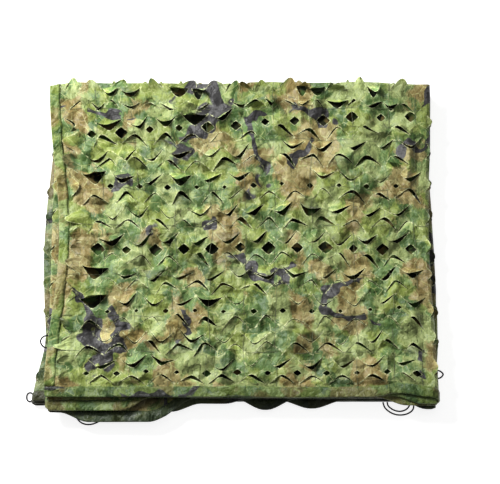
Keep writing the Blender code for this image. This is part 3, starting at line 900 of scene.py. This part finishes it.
border = loose_points[is_border(loose_points)]
inner = keep_clear(loose_points[~is_border(loose_points)], leaves, outlines[len(leaves):])
flat_points = np.concatenate((*outlines, border, spines(leaves), inner))
first = np.cumsum([0, *map(len, outlines)])
faces = [list(range(a, b)) for a, b in zip(first, first[1:])]
made, _, triangles, sources, _, within = delaunay_2d_cdt(
    [Vector(point) for point in flat_points], [], faces, 0, 1e-6
)
on_rim = np.array([not source or min(source) < first[-1] for source in sources], float)
triangles = [triangle for triangle, cut_out in zip(triangles, within) if not cut_out]
flat = np.array([tuple(point) for point in made])
print(len(flat), "points and", len(triangles), "triangles")

# %% [markdown]
# ### Wrinkles
#
# The cloth is stiff and was packed tightly, so it lies in flat facets with sharp creases between
# them, which run slantwise from cut to cut. A slanting grid whose corners get random heights, and
# whose halves of cells are flat, gives just such facets. Soft noise adds the wide waves, and the
# same noise folded at zero, by taking its absolute value, adds fine creases. Only the top ply is
# free to rise, less so near its edges. The plies under it are pressed nearly flat.

# %% Relief of the cloth
WAVE_SIZE, WAVE_HEIGHT = 0.060, 0.0026
LATTICE = ((2, 0.0046), (4, 0.0040))  # facets to a pitch and height, with corners at the cuts
FACETS = (0.0060, 0.0065, 0.0008)  # finer ones: half sizes along u and v, height
CREASE_SIZE, CREASE_HEIGHT = 0.009, 0.0004
DRIFT_SIZE, DRIFT = 0.03, 0.003  # how the slanting grid wavers
LIFT, DEEPEST = 0.0042, -0.0012  # of the top ply
PRESSED_RISE = 0.10  # what is left of the relief on the other plies
FREE_AT_EDGE, FREE_AT_LEFT = 0.12, 0.45  # and along the top ply's edges
EDGE_START, EDGE_WIDTH = 0.013, 0.016
REPEAT = 97  # cells until the facets repeat, more than the top ply spans


def facets(u, v, half_u, half_v, seed):
    """Flat slanting facets between corners of random height, from -1 to 1."""
    chance = np.random.default_rng(seed)
    heights = chance.uniform(-1.0, 1.0, (REPEAT, REPEAT))
    splits = chance.integers(0, 2, (REPEAT, REPEAT))
    p, q = (u / half_u + v / half_v) / 2, (u / half_u - v / half_v) / 2
    i, j = np.floor(p).astype(int), np.floor(q).astype(int)
    p, q = p - i, q - j

    def corner(di, dj):
        return heights[(i + di) % REPEAT, (j + dj) % REPEAT]

    near, far, right, left = corner(0, 0), corner(1, 1), corner(1, 0), corner(0, 1)
    one_way = np.where(
        p + q < 1,
        near + p * (right - near) + q * (left - near),
        far + (1 - p) * (left - far) + (1 - q) * (right - far),
    )
    other_way = near + np.minimum(p, q) * (far - near)
    other_way += np.maximum(0.0, p - q) * (right - near) + np.maximum(0.0, q - p) * (left - near)
    return np.where(splits[i % REPEAT, j % REPEAT] > 0, one_way, other_way)


def relief(u, v):
    """How far the cloth rises from its smooth place, in metres."""
    rise = WAVE_HEIGHT * noise_at(u, v, WAVE_SIZE, 3.7)
    drift_u, drift_v = (DRIFT * noise_at(u, v, DRIFT_SIZE, layer) for layer in (7.1, 9.3))
    row_u, row_v = u - FIRST_COLUMN + drift_u, v - FIRST_HOLES - lean(u, v) + drift_v
    for parts_of_pitch, height in LATTICE:
        half_u, half_v = PITCH / parts_of_pitch, PERIOD / 2 / parts_of_pitch
        rise += height * facets(row_u, row_v, half_u, half_v, parts_of_pitch)
    rise += FACETS[2] * facets(u + 2 * drift_u, v + 2 * drift_v, *FACETS[:2], 1)
    rise += CREASE_HEIGHT * (np.abs(noise_at(u, v, CREASE_SIZE, 1.5)) * 2 - 0.4)
    on_top = (u < RUN_LENGTH) & (v < PLY_WIDTH)
    from_edge = np.minimum(np.minimum(v, PLY_WIDTH - v), RUN_LENGTH - u)
    free, free_at_left = (
        least + (1 - least) * smooth((distance - EDGE_START) / EDGE_WIDTH)
        for least, distance in ((FREE_AT_EDGE, from_edge), (FREE_AT_LEFT, u))
    )
    top_rise = 0.0004 + (rise + LIFT) * np.minimum(free, free_at_left)
    return np.where(on_top, np.maximum(top_rise, DEEPEST), PRESSED_RISE * rise)


def arches(u, v):
    """The cloth rises or sinks beyond the tip of each leaf of the top ply."""
    rise = np.zeros(len(u))
    for cut in top_leaves:
        near, across, reach = around(cut, u, v, 2 * NEAR)
        beyond = reach - (cut.length - SLIVER / 2) * cut_share(cut, across)
        height = cut.arch * np.maximum(0.0, 1 - across**2) ** 2 * np.exp(-((beyond / 0.013) ** 2))
        rise[near] += np.where(beyond > 0, height, 0.0)
    return rise


def surface(u, v, out=0.0):
    """Points of the crumpled cloth, out of its face by that much more."""
    rise = relief(u, v) + arches(u, v) + out
    return middle(u, v) + directions(u, v)[2] * rise[:, None]


# %% [markdown]
# ### Bending the leaves
#
# A leaf is bent at its hinge and then curls evenly to its tip, like a strip of paper drawn over a
# table's edge. Its side view is an arc, so how far a point has gone forward and up follows from
# the sine and cosine of the angle turned so far.


# %% Carry the cloth onto the pack and bend its leaves
def bend_leaf(cut, u, v):
    """Where the points of a leaf go."""
    across, reach = from_flat(cut, u, v)
    foot_u, foot_v = to_flat(cut, across, 0.0)
    along, sideways, out = directions(foot_u, foot_v)
    tip_way = along * cut.to_u + sideways * cut.to_v
    aside_way = along * cut.to_v - sideways * cut.to_u
    share = reach / cut.length
    curl = cut.curl if abs(cut.curl) > 0.001 else 0.001
    turned = curl * share
    forward = cut.length * np.sin(turned) / curl
    up = cut.length * (1 - np.cos(turned)) / curl
    bend_cos, bend_sin = math.cos(cut.bend), math.sin(cut.bend)
    forward, up = forward * bend_cos - up * bend_sin, forward * bend_sin + up * bend_cos
    forward = forward - cut.pull * share**0.8
    up = up + cut.twist * across * cut.half_width * share
    up = up - cut.ridge * (np.abs(across) - 0.4) * cut.half_width * share
    crease = relief(u, v) - relief(foot_u, foot_v)
    moved = surface(foot_u, foot_v)
    moved += tip_way * forward[:, None] + aside_way * (cut.slide * share**0.7)[:, None]
    return moved + out * (up + 0.7 * crease)[:, None]


def fold_cloth(u, v):
    """Points of the cloth, and the light painted on each leaf: those that stand up glow."""
    points = surface(u, v)
    tone = np.zeros(len(u))
    tones = np.random.default_rng(9).uniform(-1.0, 1.0, len(leaves))
    for cut, its_tone in zip(leaves, tones):
        near, across, reach = around(cut, u, v)
        inside = (np.abs(across) < 1) & (reach > 0)
        inside &= reach < (cut.length - SLIVER / 2) * cut_share(cut, across)
        its = near[inside]
        if len(its):
            points[its] = bend_leaf(cut, u[its], v[its])
            # each leaf gets a random painted sheen, and a painted glow if it stands up
            tone[its] = its_tone + 1.6 * float(smooth((cut.bend - 0.45) / 0.5))
    points[:, 2] = np.maximum(points[:, 2], 0.0004)
    points[:, 2] -= PRESSED * np.maximum(0.0, points[:, 2] - LEAF_TOP)
    return points, tone


folded, leaf_tone = fold_cloth(*flat.T)
print("cloth from", folded.min(0).round(3), "to", folded.max(0).round(3))

# %% [markdown]
# ## One mesh from arrays
#
# Every sheet below keeps its flat place in a UV map, in metres. The print and the weave read that
# map, so they bend with the cloth and run on across the folds. A second value, stored at each
# point, says how deep in the pack it lies. Hardly any light gets in there, so shade is painted on
# by that much, and the deepest faces get a finish of painted shade.


# %% Make a mesh with its flat map
def depth_in_pack(u, v):
    """0 on the top ply and along the pack's sides, 1 deep inside: how much shade is painted there.
    """
    run, share, angle = locate(u)
    on_top = (run == 0) & (v < PLY_WIDTH + FOLD_LENGTH / 2) & (angle < math.pi / 2)
    from_side = np.minimum(share, 1 - share) * RUN_LENGTH
    from_front = np.minimum(v, NET_WIDTH - v)
    from_back = np.abs(v - PLY_WIDTH - FOLD_LENGTH / 2)
    inside = np.minimum(np.minimum(from_side, from_front - 0.012), from_back)
    deep = np.maximum(RUN_DEPTH[run], smooth((inside - 0.004) / 0.016))
    return np.where(on_top, 0.0, deep)


RUN_DEPTH = np.array((0.0, 0.0, 0.25, 0.50, 0.58))  # at least this deep, run by run, for the painted shade on the lower runs
SHARP_FROM = math.radians(22)


def sheet_mesh(name, points, faces, flat_points, finish, painted_shade_finish=None, **values):
    mesh = bpy.data.meshes.new(name)
    mesh.from_pydata(points.tolist(), [], faces)
    mesh.validate()
    corner_points = np.zeros(len(mesh.loops), int)
    mesh.loops.foreach_get("vertex_index", corner_points)
    uv_map = mesh.uv_layers.new(name="flat")
    uv_map.data.foreach_set("uv", flat_points[corner_points].astype(np.float32).ravel())
    values = {"deep": depth_in_pack(*flat_points.T), **values}
    for value_name, value in values.items():
        attribute = mesh.attributes.new(value_name, "FLOAT", "POINT")
        attribute.data.foreach_set("value", value.astype(np.float32))
    mesh.polygons.foreach_set("use_smooth", [True] * len(mesh.polygons))
    mesh.set_sharp_from_angle(angle=SHARP_FROM)
    mesh.materials.append(finish)
    # faces deep in the pack get a finish of painted shade
    if painted_shade_finish:
        mesh.materials.append(painted_shade_finish)
        is_deep = [bool(value) for value in depth_in_pack(*flat_points.T) > 0.6]
        for polygon in mesh.polygons:
            polygon.material_index = int(all(is_deep[i] for i in polygon.vertices))
    return mesh


# %% [markdown]
# ## The woodland print
#
# The print has soft patches of lime, pale green, leaf green and tan over a mid green, brushed into
# each other, and sharp black branches on top. Noise that is cut off at a level gives patches. The
# black branches come from the thin band where another noise passes its middle value: that band
# winds about like a twig, and a third noise breaks it into pieces.

# %% Colours of the print
PRINT = {
    "mid_green": (0.078, 0.144, 0.034),
    "lime": (0.162, 0.208, 0.034),
    "pale_green": (0.220, 0.272, 0.090),
    "leaf_green": (0.038, 0.088, 0.013),
    "tan": (0.180, 0.132, 0.036),
    "straw": (0.236, 0.196, 0.070),
    "black": (0.021, 0.020, 0.020),
}
FRAY = 0.16  # how much the brush strokes fray the outlines of the patches
PATCHES = (  # colour, scale, seed, where its edge starts and ends
    ("lime", 17.0, 0.0, 0.45, 0.55),
    ("pale_green", 19.0, 3.0, 0.48, 0.57),
    ("leaf_green", 23.0, 5.0, 0.55, 0.60),
    ("tan", 14.0, 7.0, 0.53, 0.58),
)
PALE_STROKE_AND_CREASE_HIGHLIGHT, DARK_STROKE_AND_CREASE_SHADE = (0.380, 0.400, 0.155), (0.024, 0.040, 0.010)  # of the brush strokes, and painted highlights and painted shade along creases
PALE_RIM_FRAY_AND_HIGHLIGHT = (0.500, 0.530, 0.270)  # the pale edge of a cut: partly its fray, partly a painted highlight
PAINTED_DEEP_SHADE = (0.004, 0.006, 0.002)  # painted shade deep in the pack


# %% Parts of the print
def from_middle(tree, noise):
    """How far a noise is from its middle value."""
    return calculate(tree, "ABSOLUTE", calculate(tree, "SUBTRACT", noise, 0.5))


def cracks(tree, place, scale, width):
    """1 along the borders of irregular cells."""
    inputs = {"Vector": place, "Scale": scale}
    edge = add_node(tree, "TexVoronoi", inputs, feature="DISTANCE_TO_EDGE").outputs["Distance"]
    return level(tree, edge, width, 0.0)


def brush_strokes(tree, place, brushed, seed):
    """Dry strokes, which slant one way or the other."""
    ways = []
    for slant in (0.7, -0.6):
        inputs = {"Vector": brushed, "Rotation": (0.0, 0.0, slant), "Scale": (1.0, 0.14, 1.0)}
        turned = add_node(tree, "Mapping", inputs).outputs[0]
        ways.append(print_noise(tree, turned, 380.0, seed, detail=3.0, roughness=0.7))
    which = level(tree, print_noise(tree, place, 34.0, seed + 5.0), 0.48, 0.52)
    return add_node(tree, "Mix", {"Factor": which, "A": ways[0], "B": ways[1]}).outputs["Result"]


def black_branches(tree, place, seed):
    inputs = {"Vector": place, "Scale": 34.0, "Detail": 1.0}
    fingers = add_node(tree, "TexNoise", inputs).outputs["Color"]
    fingers = calculate_vector(tree, "MULTIPLY_ADD", fingers, (0.048, 0.048, 0.048), place)
    branch = from_middle(tree, print_noise(tree, fingers, 7.5, seed + 11.0, detail=0.6))
    pieces = level(tree, print_noise(tree, fingers, 11.0, seed + 17.0), 0.515, 0.527)
    return calculate(tree, "MULTIPLY", level(tree, branch, 0.025, 0.021), pieces)


# %% [markdown]
# Painted light comes next: painted highlights and painted shade along creases, and the pale rim of
# each cut, which is partly fray and partly a painted highlight. Each leaf is painted a little
# lighter or darker, as painted sheen, and leaves that stand up are painted brighter, as a painted
# glow. For the fine shape, the normal is tilted cell by cell, as in crumpled paper, and small
# wrinkles and the weave are added as bump.


# %% The printed cloth's finish
def print_colour(tree, place, seed, tint, strokes, brushed):
    colour = PRINT["mid_green"]
    for colour_name, scale, layer, start, end in PATCHES:
        patch = print_noise(tree, brushed, scale, seed + layer)
        patch = calculate(tree, "MULTIPLY_ADD", strokes, FRAY, patch)
        patch = level(tree, patch, start + FRAY / 2, end + FRAY / 2)
        colour = over(tree, patch, colour, PRINT[colour_name])
    # the tan patches, which are last, are light in places
    light = level(tree, print_noise(tree, brushed, 32.0, seed + 8.0), 0.46, 0.56)
    colour = over(tree, calculate(tree, "MULTIPLY", light, patch), colour, PRINT["straw"])
    colour = over(tree, level(tree, strokes, 0.50, 0.78, 0.0, 0.58), colour, PALE_STROKE_AND_CREASE_HIGHLIGHT)
    colour = over(tree, level(tree, strokes, 0.50, 0.24, 0.0, 0.62), colour, DARK_STROKE_AND_CREASE_SHADE)
    # painted highlights along creases, then painted shade along others
    some = print_noise(tree, place, 60.0, seed + 23.0)
    for scale, width, start, end, most, shade in (
        (52.0, 0.035, 0.46, 0.56, 0.65, PALE_STROKE_AND_CREASE_HIGHLIGHT),
        (83.0, 0.040, 0.54, 0.44, 0.60, DARK_STROKE_AND_CREASE_SHADE),
    ):
        here = level(tree, some, start, end, 0.0, most)
        crease = calculate(tree, "MULTIPLY", cracks(tree, place, scale, width), here)
        colour = over(tree, crease, colour, shade)
    colour = over(tree, black_branches(tree, place, seed), colour, PRINT["black"])
    stored = {
        name: add_node(tree, "Attribute", attribute_name=name).outputs["Fac"]
        for name in ("rim", "tone", "deep")
    }
    # the rim of each cut is painted pale: partly its fray, partly a painted highlight
    frayed = level(tree, print_noise(tree, place, 240.0, seed + 19.0), 0.42, 0.60, 0.0, 0.80)
    rim = calculate(tree, "MULTIPLY", level(tree, stored["rim"], 0.35, 0.90), frayed)
    colour = over(tree, rim, colour, PALE_RIM_FRAY_AND_HIGHLIGHT)
    # each leaf's painted sheen and glow lighten or darken its colour
    tone = calculate(tree, "MULTIPLY_ADD", stored["tone"], 0.40, 0.98)
    colour = over(tree, 1.0, over(tree, 1.0, colour, tone, "MULTIPLY"), tint, "MULTIPLY")
    # painted shade deep in the pack
    return over(tree, calculate(tree, "MULTIPLY", stored["deep"], 0.85), colour, PAINTED_DEEP_SHADE)


def crumpled_normal(tree, place, seed):
    normal = add_node(tree, "NewGeometry").outputs["Normal"]
    for scale, tilt in ((52.0, 0.36), (105.0, 0.42)):
        cells = add_node(tree, "TexVoronoi", {"Vector": place, "Scale": scale}).outputs["Color"]
        way = calculate_vector(tree, "SUBTRACT", cells, (0.5, 0.5, 0.5))
        normal = calculate_vector(tree, "MULTIPLY_ADD", way, (tilt, tilt, tilt), normal)
    normal = calculate_vector(tree, "NORMALIZE", normal)
    wrinkles = 0.0
    for scale, height in ((48.0, 0.8), (105.0, 0.40), (230.0, 0.22)):
        fold = from_middle(tree, print_noise(tree, place, scale, seed + scale, detail=0.0))
        wrinkles = calculate(tree, "MULTIPLY_ADD", fold, height, wrinkles)
    weave = []
    for direction in ("X", "Y"):
        inputs = {"Vector": place, "Scale": 520.0}
        weave.append(add_node(tree, "TexWave", inputs, bands_direction=direction).outputs["Fac"])
    weave = calculate(tree, "MAXIMUM", *weave)
    for height, strength, distance in ((wrinkles, 1.0, 0.0060), (weave, 0.35, 0.0001)):
        inputs = {"Height": height, "Strength": strength, "Distance": distance, "Normal": normal}
        normal = add_node(tree, "Bump", inputs).outputs[0]
    return normal


def printed_cloth(name, seed, tint):
    """Woven cloth with the print, tinted over all by a colour."""
    material, tree, shader = new_material(name)
    place = flat_place(tree)
    # the outlines wander, as if put on with a brush
    inputs = {"Vector": place, "Scale": 38.0, "Detail": 3.0}
    wander = add_node(tree, "TexNoise", inputs).outputs["Color"]
    wander = calculate_vector(tree, "SUBTRACT", wander, (0.5, 0.5, 0.5))
    wander = calculate_vector(tree, "SCALE", wander, Scale=0.028)
    brushed = calculate_vector(tree, "ADD", place, wander)
    strokes = brush_strokes(tree, place, brushed, seed)
    links = {
        "Base Color": print_colour(tree, place, seed, tint, strokes, brushed),
        "Normal": crumpled_normal(tree, place, seed),
        "Roughness": level(tree, strokes, 0.3, 0.7, 0.48, 0.66),
    }
    for socket, value in links.items():
        tree.links.new(value, shader.inputs[socket])
    shader.inputs["Specular IOR Level"].default_value = 0.42
    shader.inputs["Sheen Weight"].default_value = 0.12
    shader.inputs["Sheen Roughness"].default_value = 0.45
    return material


def speckled(name, scale, seed, dark, light, roughness):
    """A plain finish for thread and thin cord."""
    material, tree, shader = new_material(name)
    fuzz = print_noise(tree, flat_place(tree), scale, seed)
    tree.links.new(over(tree, fuzz, dark, light), shader.inputs["Base Color"])
    shader.inputs["Roughness"].default_value = roughness
    return material


cloth_finish = printed_cloth("printed_leaf_cloth", 2.3, (1.0, 1.0, 1.0))
# the front bindings are tinted darker and greener, the darkness partly as painted shade
binding_finish = printed_cloth("printed_binding", 31.0, (0.45, 0.53, 0.35))
end_finish = printed_cloth("printed_end_binding", 47.0, (0.84, 0.90, 0.76))

# %% The cloth deep inside the pack, in painted shade
painted_shade_finish, tree, shader = new_material("cloth_in_painted_shade_inside_the_pack")
place = flat_place(tree)
# painted shade, with blotches of painted light where the cloth below would be lit
blotches = print_noise(tree, place, 30.0, 5.0)
unlit = over(tree, level(tree, blotches, 0.4, 0.6), (0.003, 0.005, 0.002), (0.014, 0.016, 0.007))
lit = over(tree, level(tree, blotches, 0.45, 0.55), (0.080, 0.060, 0.020), (0.038, 0.075, 0.020))
seen = level(tree, print_noise(tree, place, 34.0, 9.0), 0.49, 0.53)
tree.links.new(over(tree, seen, unlit, lit), shader.inputs["Base Color"])
shader.inputs["Roughness"].default_value = 0.9
shader.inputs["Specular IOR Level"].default_value = 0.1
print("finishes:", cloth_finish.name, binding_finish.name, painted_shade_finish.name)

# %% The cloth
cloth = add_object(
    "leaf_cloth",
    sheet_mesh("leaf_cloth", folded, triangles, flat, cloth_finish, painted_shade_finish,
               rim=on_rim, tone=leaf_tone),
)
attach(cloth, "root")
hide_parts("net_cloth")
print(cloth.name, "has", len(cloth.data.polygons), "triangles")

# %% [markdown]
# ## The binding
#
# A strip of the same cloth is folded over the edge and sewn down. It is a ribbon that follows the
# edge: a short section, laid at many stations along it. The section goes over the top of the cloth,
# round its edge and back under it. Its inner edges are sewn down onto the cloth and run a little
# crooked, and between the stitches the strip puckers.

# %% Section and pucker of the binding
SECTION_FLAT = 4
SECTION_ROUND = 5
PUCKER = {"hem": 0.00035, "end": 0.0011}  # the ends were sewn less neatly
PUCKER_SIZE = 0.007
CROOKED, CROOKED_SIZE = 0.10, 0.022  # how far the strip's width differs
LAYER_SHADE = np.array((0.0, 0.0, 0.80, 0.92, 0.92))  # less light reaches the lower runs
wrap = np.linspace(math.pi / 2, -math.pi / 2, SECTION_ROUND)
inwards = np.linspace(BINDING_WIDTH, 0.0, SECTION_FLAT + 1)[:-1]
inset = np.concatenate((inwards, -BINDING_RISE * np.cos(wrap), inwards[::-1]))
lift = np.concatenate(
    (np.full(SECTION_FLAT, BINDING_RISE), BINDING_RISE * np.sin(wrap),
     np.full(SECTION_FLAT, -BINDING_RISE))
)
lift[[0, -1]] = 0.0002, -0.0002  # the inner edges are sewn down onto the cloth
START = [[BINDING_WIDTH], [BINDING_RISE]]  # where the strip's width is counted from


def ribbon(name, stations, flat_at, seed):
    """A binding strip. flat_at(station, inset) gives the flat point under each of its points."""
    along, across = np.meshgrid(np.array(stations), np.arange(len(inset)), indexing="ij")
    station, its = along.ravel(), across.ravel()
    crooked = 1.0 + CROOKED * noise_at(station, 0 * station, CROOKED_SIZE, seed)
    u, v, in_u, in_v = flat_at(station, np.maximum(0.0, inset[its]) * crooked)
    pucker = noise_at(station, its * 0.004, PUCKER_SIZE, seed) * np.sign(lift[its])
    pucker *= PUCKER["end" if "end" in name else "hem"] * (abs(lift[its]) > 0.0006)
    along_way, across_way, out = directions(u, v)
    points = surface(u, v, lift[its] + pucker)
    outwards = -(along_way * in_u + across_way * in_v)
    points += outwards * np.maximum(0.0, -inset[its])[:, None]
    points[:, 2] = np.maximum(points[:, 2], BINDING / 2)
    wide = len(inset)
    quads = [
        (i * wide + j, i * wide + j + 1, (i + 1) * wide + j + 1, (i + 1) * wide + j)
        for i in range(len(stations) - 1)
        for j in range(wide - 1)
    ]
    spread = np.cumsum(np.hypot(*np.diff(np.stack((inset, lift)), prepend=START)))
    strip = np.stack((station, spread[its]), axis=-1)
    shade = np.maximum(depth_in_pack(u, v), LAYER_SHADE[locate(u)[0]])
    finish = end_finish if "end" in name else binding_finish
    mesh = sheet_mesh(name, points, quads, strip, finish, deep=shade)
    piece = add_object(name, mesh)
    thickness = piece.modifiers.new("thickness", "SOLIDIFY")
    thickness.thickness = BINDING
    thickness.offset = 0.0
    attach(piece, "root")
    return piece


# %% Bind the edges
def upper_hem(station, inset):
    return station, inset, 0.0, 1.0


def lower_hem(station, inset):
    return station, NET_WIDTH - inset, 0.0, -1.0


def top_end(station, inset):
    return inset, station, 1.0, 0.0


def bottom_end(station, inset):
    return NET_LENGTH - inset, station, -1.0, 0.0


hem_stations = sorted({*np.arange(0.0, NET_LENGTH, 0.006).tolist(), *turn_us, NET_LENGTH})
end_stations = [HEM + SEAM_GAP, *fold_vs, NET_WIDTH - HEM - SEAM_GAP]
end_stations = sorted({*end_stations, *np.arange(0.021, PLY_WIDTH - 0.004, 0.005).tolist(),
                       *np.arange(PLY_WIDTH + 0.011, NET_WIDTH - 0.021, 0.005).tolist()})
EDGES = {
    "binding_hem_upper": (hem_stations, upper_hem),
    "binding_hem_lower": (hem_stations, lower_hem),
    "binding_end_top": (end_stations, top_end),
    "binding_end_bottom": (end_stations, bottom_end),
}
for index, (node_name, (stations, flat_at)) in enumerate(EDGES.items()):
    strip = ribbon(node_name + "_strip", stations, flat_at, 20.0 + index)
    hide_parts(node_name)
    print(strip.name, "has", len(strip.data.polygons), "faces")

# %% [markdown]
# ## The stitching
#
# The machine stitch shows as a row of short dashes near the strip's inner edge. Each dash is a tiny
# double pyramid: six points, eight faces. All of them go into one mesh. Their points are found with
# the same function as the cloth's, so they sit on the strip through every fold.

# %% Sew the binding down
def joined(parts):
    """Meshes given as (points, faces, flat places), put into one."""
    points, faces, flats = zip(*parts)
    starts = np.cumsum([0, *map(len, points)]).tolist()
    faces = [
        tuple(start + corner for corner in face)
        for start, its_faces in zip(starts, faces)
        for face in its_faces
    ]
    return np.concatenate(points), faces, np.concatenate(flats)


STITCH_PITCH = 0.0036
STITCH = (0.0013, 0.00032, 0.00018)  # half length, half width and half height
STITCH_LINE = 0.0125  # from the edge of the net
STITCH_FACES = ((0, 2, 4), (2, 1, 4), (1, 3, 4), (3, 0, 4))
STITCH_FACES += ((2, 0, 5), (1, 2, 5), (3, 1, 5), (0, 3, 5))
OFFSETS = ((-1, 0, 0), (1, 0, 0), (0, -1, 0), (0, 1, 0), (0, 0, 1), (0, 0, -1))


def stitch_rows():
    rows = []
    for stations, flat_at in EDGES.values():
        at = np.arange(stations[0] + 0.004, stations[-1] - 0.004, STITCH_PITCH)
        faces = [tuple(6 * i + j for j in face) for i in range(len(at)) for face in STITCH_FACES]
        for side in (1, -1):
            points, flats = [], []
            for along, across, height in OFFSETS:
                inset = np.full(len(at), STITCH_LINE + across * STITCH[1])
                u, v, _, _ = flat_at(at + along * STITCH[0], inset)
                points.append(surface(u, v, side * (BINDING_HALF + height * STITCH[2])))
                flats.append(np.stack((u, v), axis=-1))
            points = np.stack(points, axis=1).reshape(-1, 3)
            points[:, 2] = np.maximum(points[:, 2], 0.0001)
            rows.append((points, faces, np.stack(flats, axis=1).reshape(-1, 2)))
    return joined(rows)


thread_finish = speckled("sewing_thread", 900.0, 1.0, (0.030, 0.055, 0.020),
                         (0.095, 0.120, 0.045), 0.7)
stitch_mesh = sheet_mesh("binding_stitches", *stitch_rows(), thread_finish)
stitches = add_object("binding_stitches", stitch_mesh)
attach(stitches, "root")
print(len(stitches.data.polygons) // len(STITCH_FACES), "stitches")

# %% [markdown]
# ## The cord mesh over the cloth
#
# A mesh of thin cord keeps the net from tearing. It is tied to the cloth here and there, and lies
# on it in between, so that it runs over flat leaves and under those that stand up. Each line is a
# thin tube: rings of points along a path on the flat cloth, a little above its face.

# %% Tubes on the cloth
MESH_CORD = 0.00026  # radius
MESH_STEP = 0.003
MESH_WANDER, MESH_WANDER_SIZE = 0.006, 0.06  # sideways
MESH_RISE, MESH_RISE_SIZE = 0.0020, 0.025  # in and out of the leaves
RING = 6


def tube(u, v, out):
    """Points, faces and flat places of a tube that runs through flat points."""
    centre = surface(u, v, out)
    normal = directions(u, v)[2]
    forward = unit(np.gradient(centre, axis=0))
    side = unit(np.cross(forward, normal))
    normal = np.cross(side, forward)
    turn = np.arange(RING) * 2 * math.pi / RING
    ring = side[:, None] * np.cos(turn)[:, None] + normal[:, None] * np.sin(turn)[:, None]
    points = (centre[:, None] + MESH_CORD * ring).reshape(-1, 3)
    faces = [
        (i + j, i + (j + 1) % RING, i + RING + (j + 1) % RING, i + RING + j)
        for i in range(0, RING * (len(u) - 1), RING)
        for j in range(RING)
    ]
    last = (len(u) - 1) * RING
    faces += [tuple(range(RING))[::-1], tuple(last + j for j in range(RING))]
    return points, faces, np.repeat(np.stack((u, v), axis=-1), RING, axis=0)


MESH_US = (0.070, 0.128, 0.186, 0.243, 0.299, 0.347, 0.405, 0.472, 0.529, 0.571)
MESH_VS = (0.068, 0.126, 0.190, 0.268, 0.325, 0.402, 0.455)


def cord_mesh():
    lines = []
    across = np.arange(0.010, PLY_WIDTH + FOLD_LENGTH, MESH_STEP)
    for i, u in enumerate(MESH_US):
        aside = MESH_WANDER * noise_at(across, across * 0, MESH_WANDER_SIZE, i + 40.0)
        lines.append((u + aside, across))
    along = np.arange(0.010, RUN_LENGTH + TURN_LENGTH / 2, MESH_STEP)
    for i, v in enumerate(MESH_VS):
        aside = MESH_WANDER * noise_at(along, along * 0, MESH_WANDER_SIZE, i + 60.0)
        lines.append((along, v + aside))
    return joined(
        tube(u, v, 0.0001 + MESH_RISE * noise_at(u, v, MESH_RISE_SIZE, i + 80.0))
        for i, (u, v) in enumerate(lines)
    )


mesh_finish = speckled("mesh_cord", 700.0, 4.0, (0.050, 0.065, 0.028), (0.150, 0.165, 0.085), 0.65)
backing = add_object("mesh_cords", sheet_mesh("mesh_cords", *cord_mesh(), mesh_finish))
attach(backing, "root")
print(backing.name, "has", len(backing.data.polygons), "faces")

# %% [markdown]
# ## Floor and light
#
# The pack was shot on white, with hardly a shadow round it. So the wide white floor gives off some
# light of its own, which drowns most of the shadow. The key lamp stands far to the left and behind,
# as the dark sides of the leaves in the photo tell, and a weak wide lamp above fills in.

# %% The floor
floor_mesh = bpy.data.meshes.new("floor")
FLOOR = 6.0
floor_mesh.from_pydata(
    [(-FLOOR, -FLOOR, 0), (FLOOR, -FLOOR, 0), (FLOOR, FLOOR, 0), (-FLOOR, FLOOR, 0)],
    [],
    [(0, 1, 2, 3)],
)
floor = add_object("floor", floor_mesh)
floor_finish, tree, shader = new_material("white_floor")
shader.inputs["Base Color"].default_value = (0.50, 0.50, 0.50, 1.0)
shader.inputs["Roughness"].default_value = 0.9
shader.inputs["Emission Color"].default_value = (1.0, 1.0, 1.0, 1.0)
shader.inputs["Emission Strength"].default_value = 0.84
floor_mesh.materials.append(floor_finish)


# %% Lamps and sky
def soft_lamp(name, location, size, power):
    lamp = bpy.data.lights.new(name, "AREA")
    lamp.size = size
    lamp.energy = power
    obj = add_object(name, lamp)
    obj.location = location
    obj.rotation_euler = (-Vector(location)).to_track_quat("-Z", "Y").to_euler()
    return obj


soft_lamp("key_lamp", (-1.45, 1.25, 1.55), 0.80, 139.0)
soft_lamp("top_lamp", (0.3, 0.2, 2.6), 2.2, 11.0)
world = bpy.data.worlds.new("studio")
world.use_nodes = True
world.node_tree.nodes["Background"].inputs["Color"].default_value = (1.0, 1.0, 1.0, 1.0)
world.node_tree.nodes["Background"].inputs["Strength"].default_value = 0.12
bpy.context.scene.world = world
bpy.context.scene.view_settings.view_transform = "Standard"
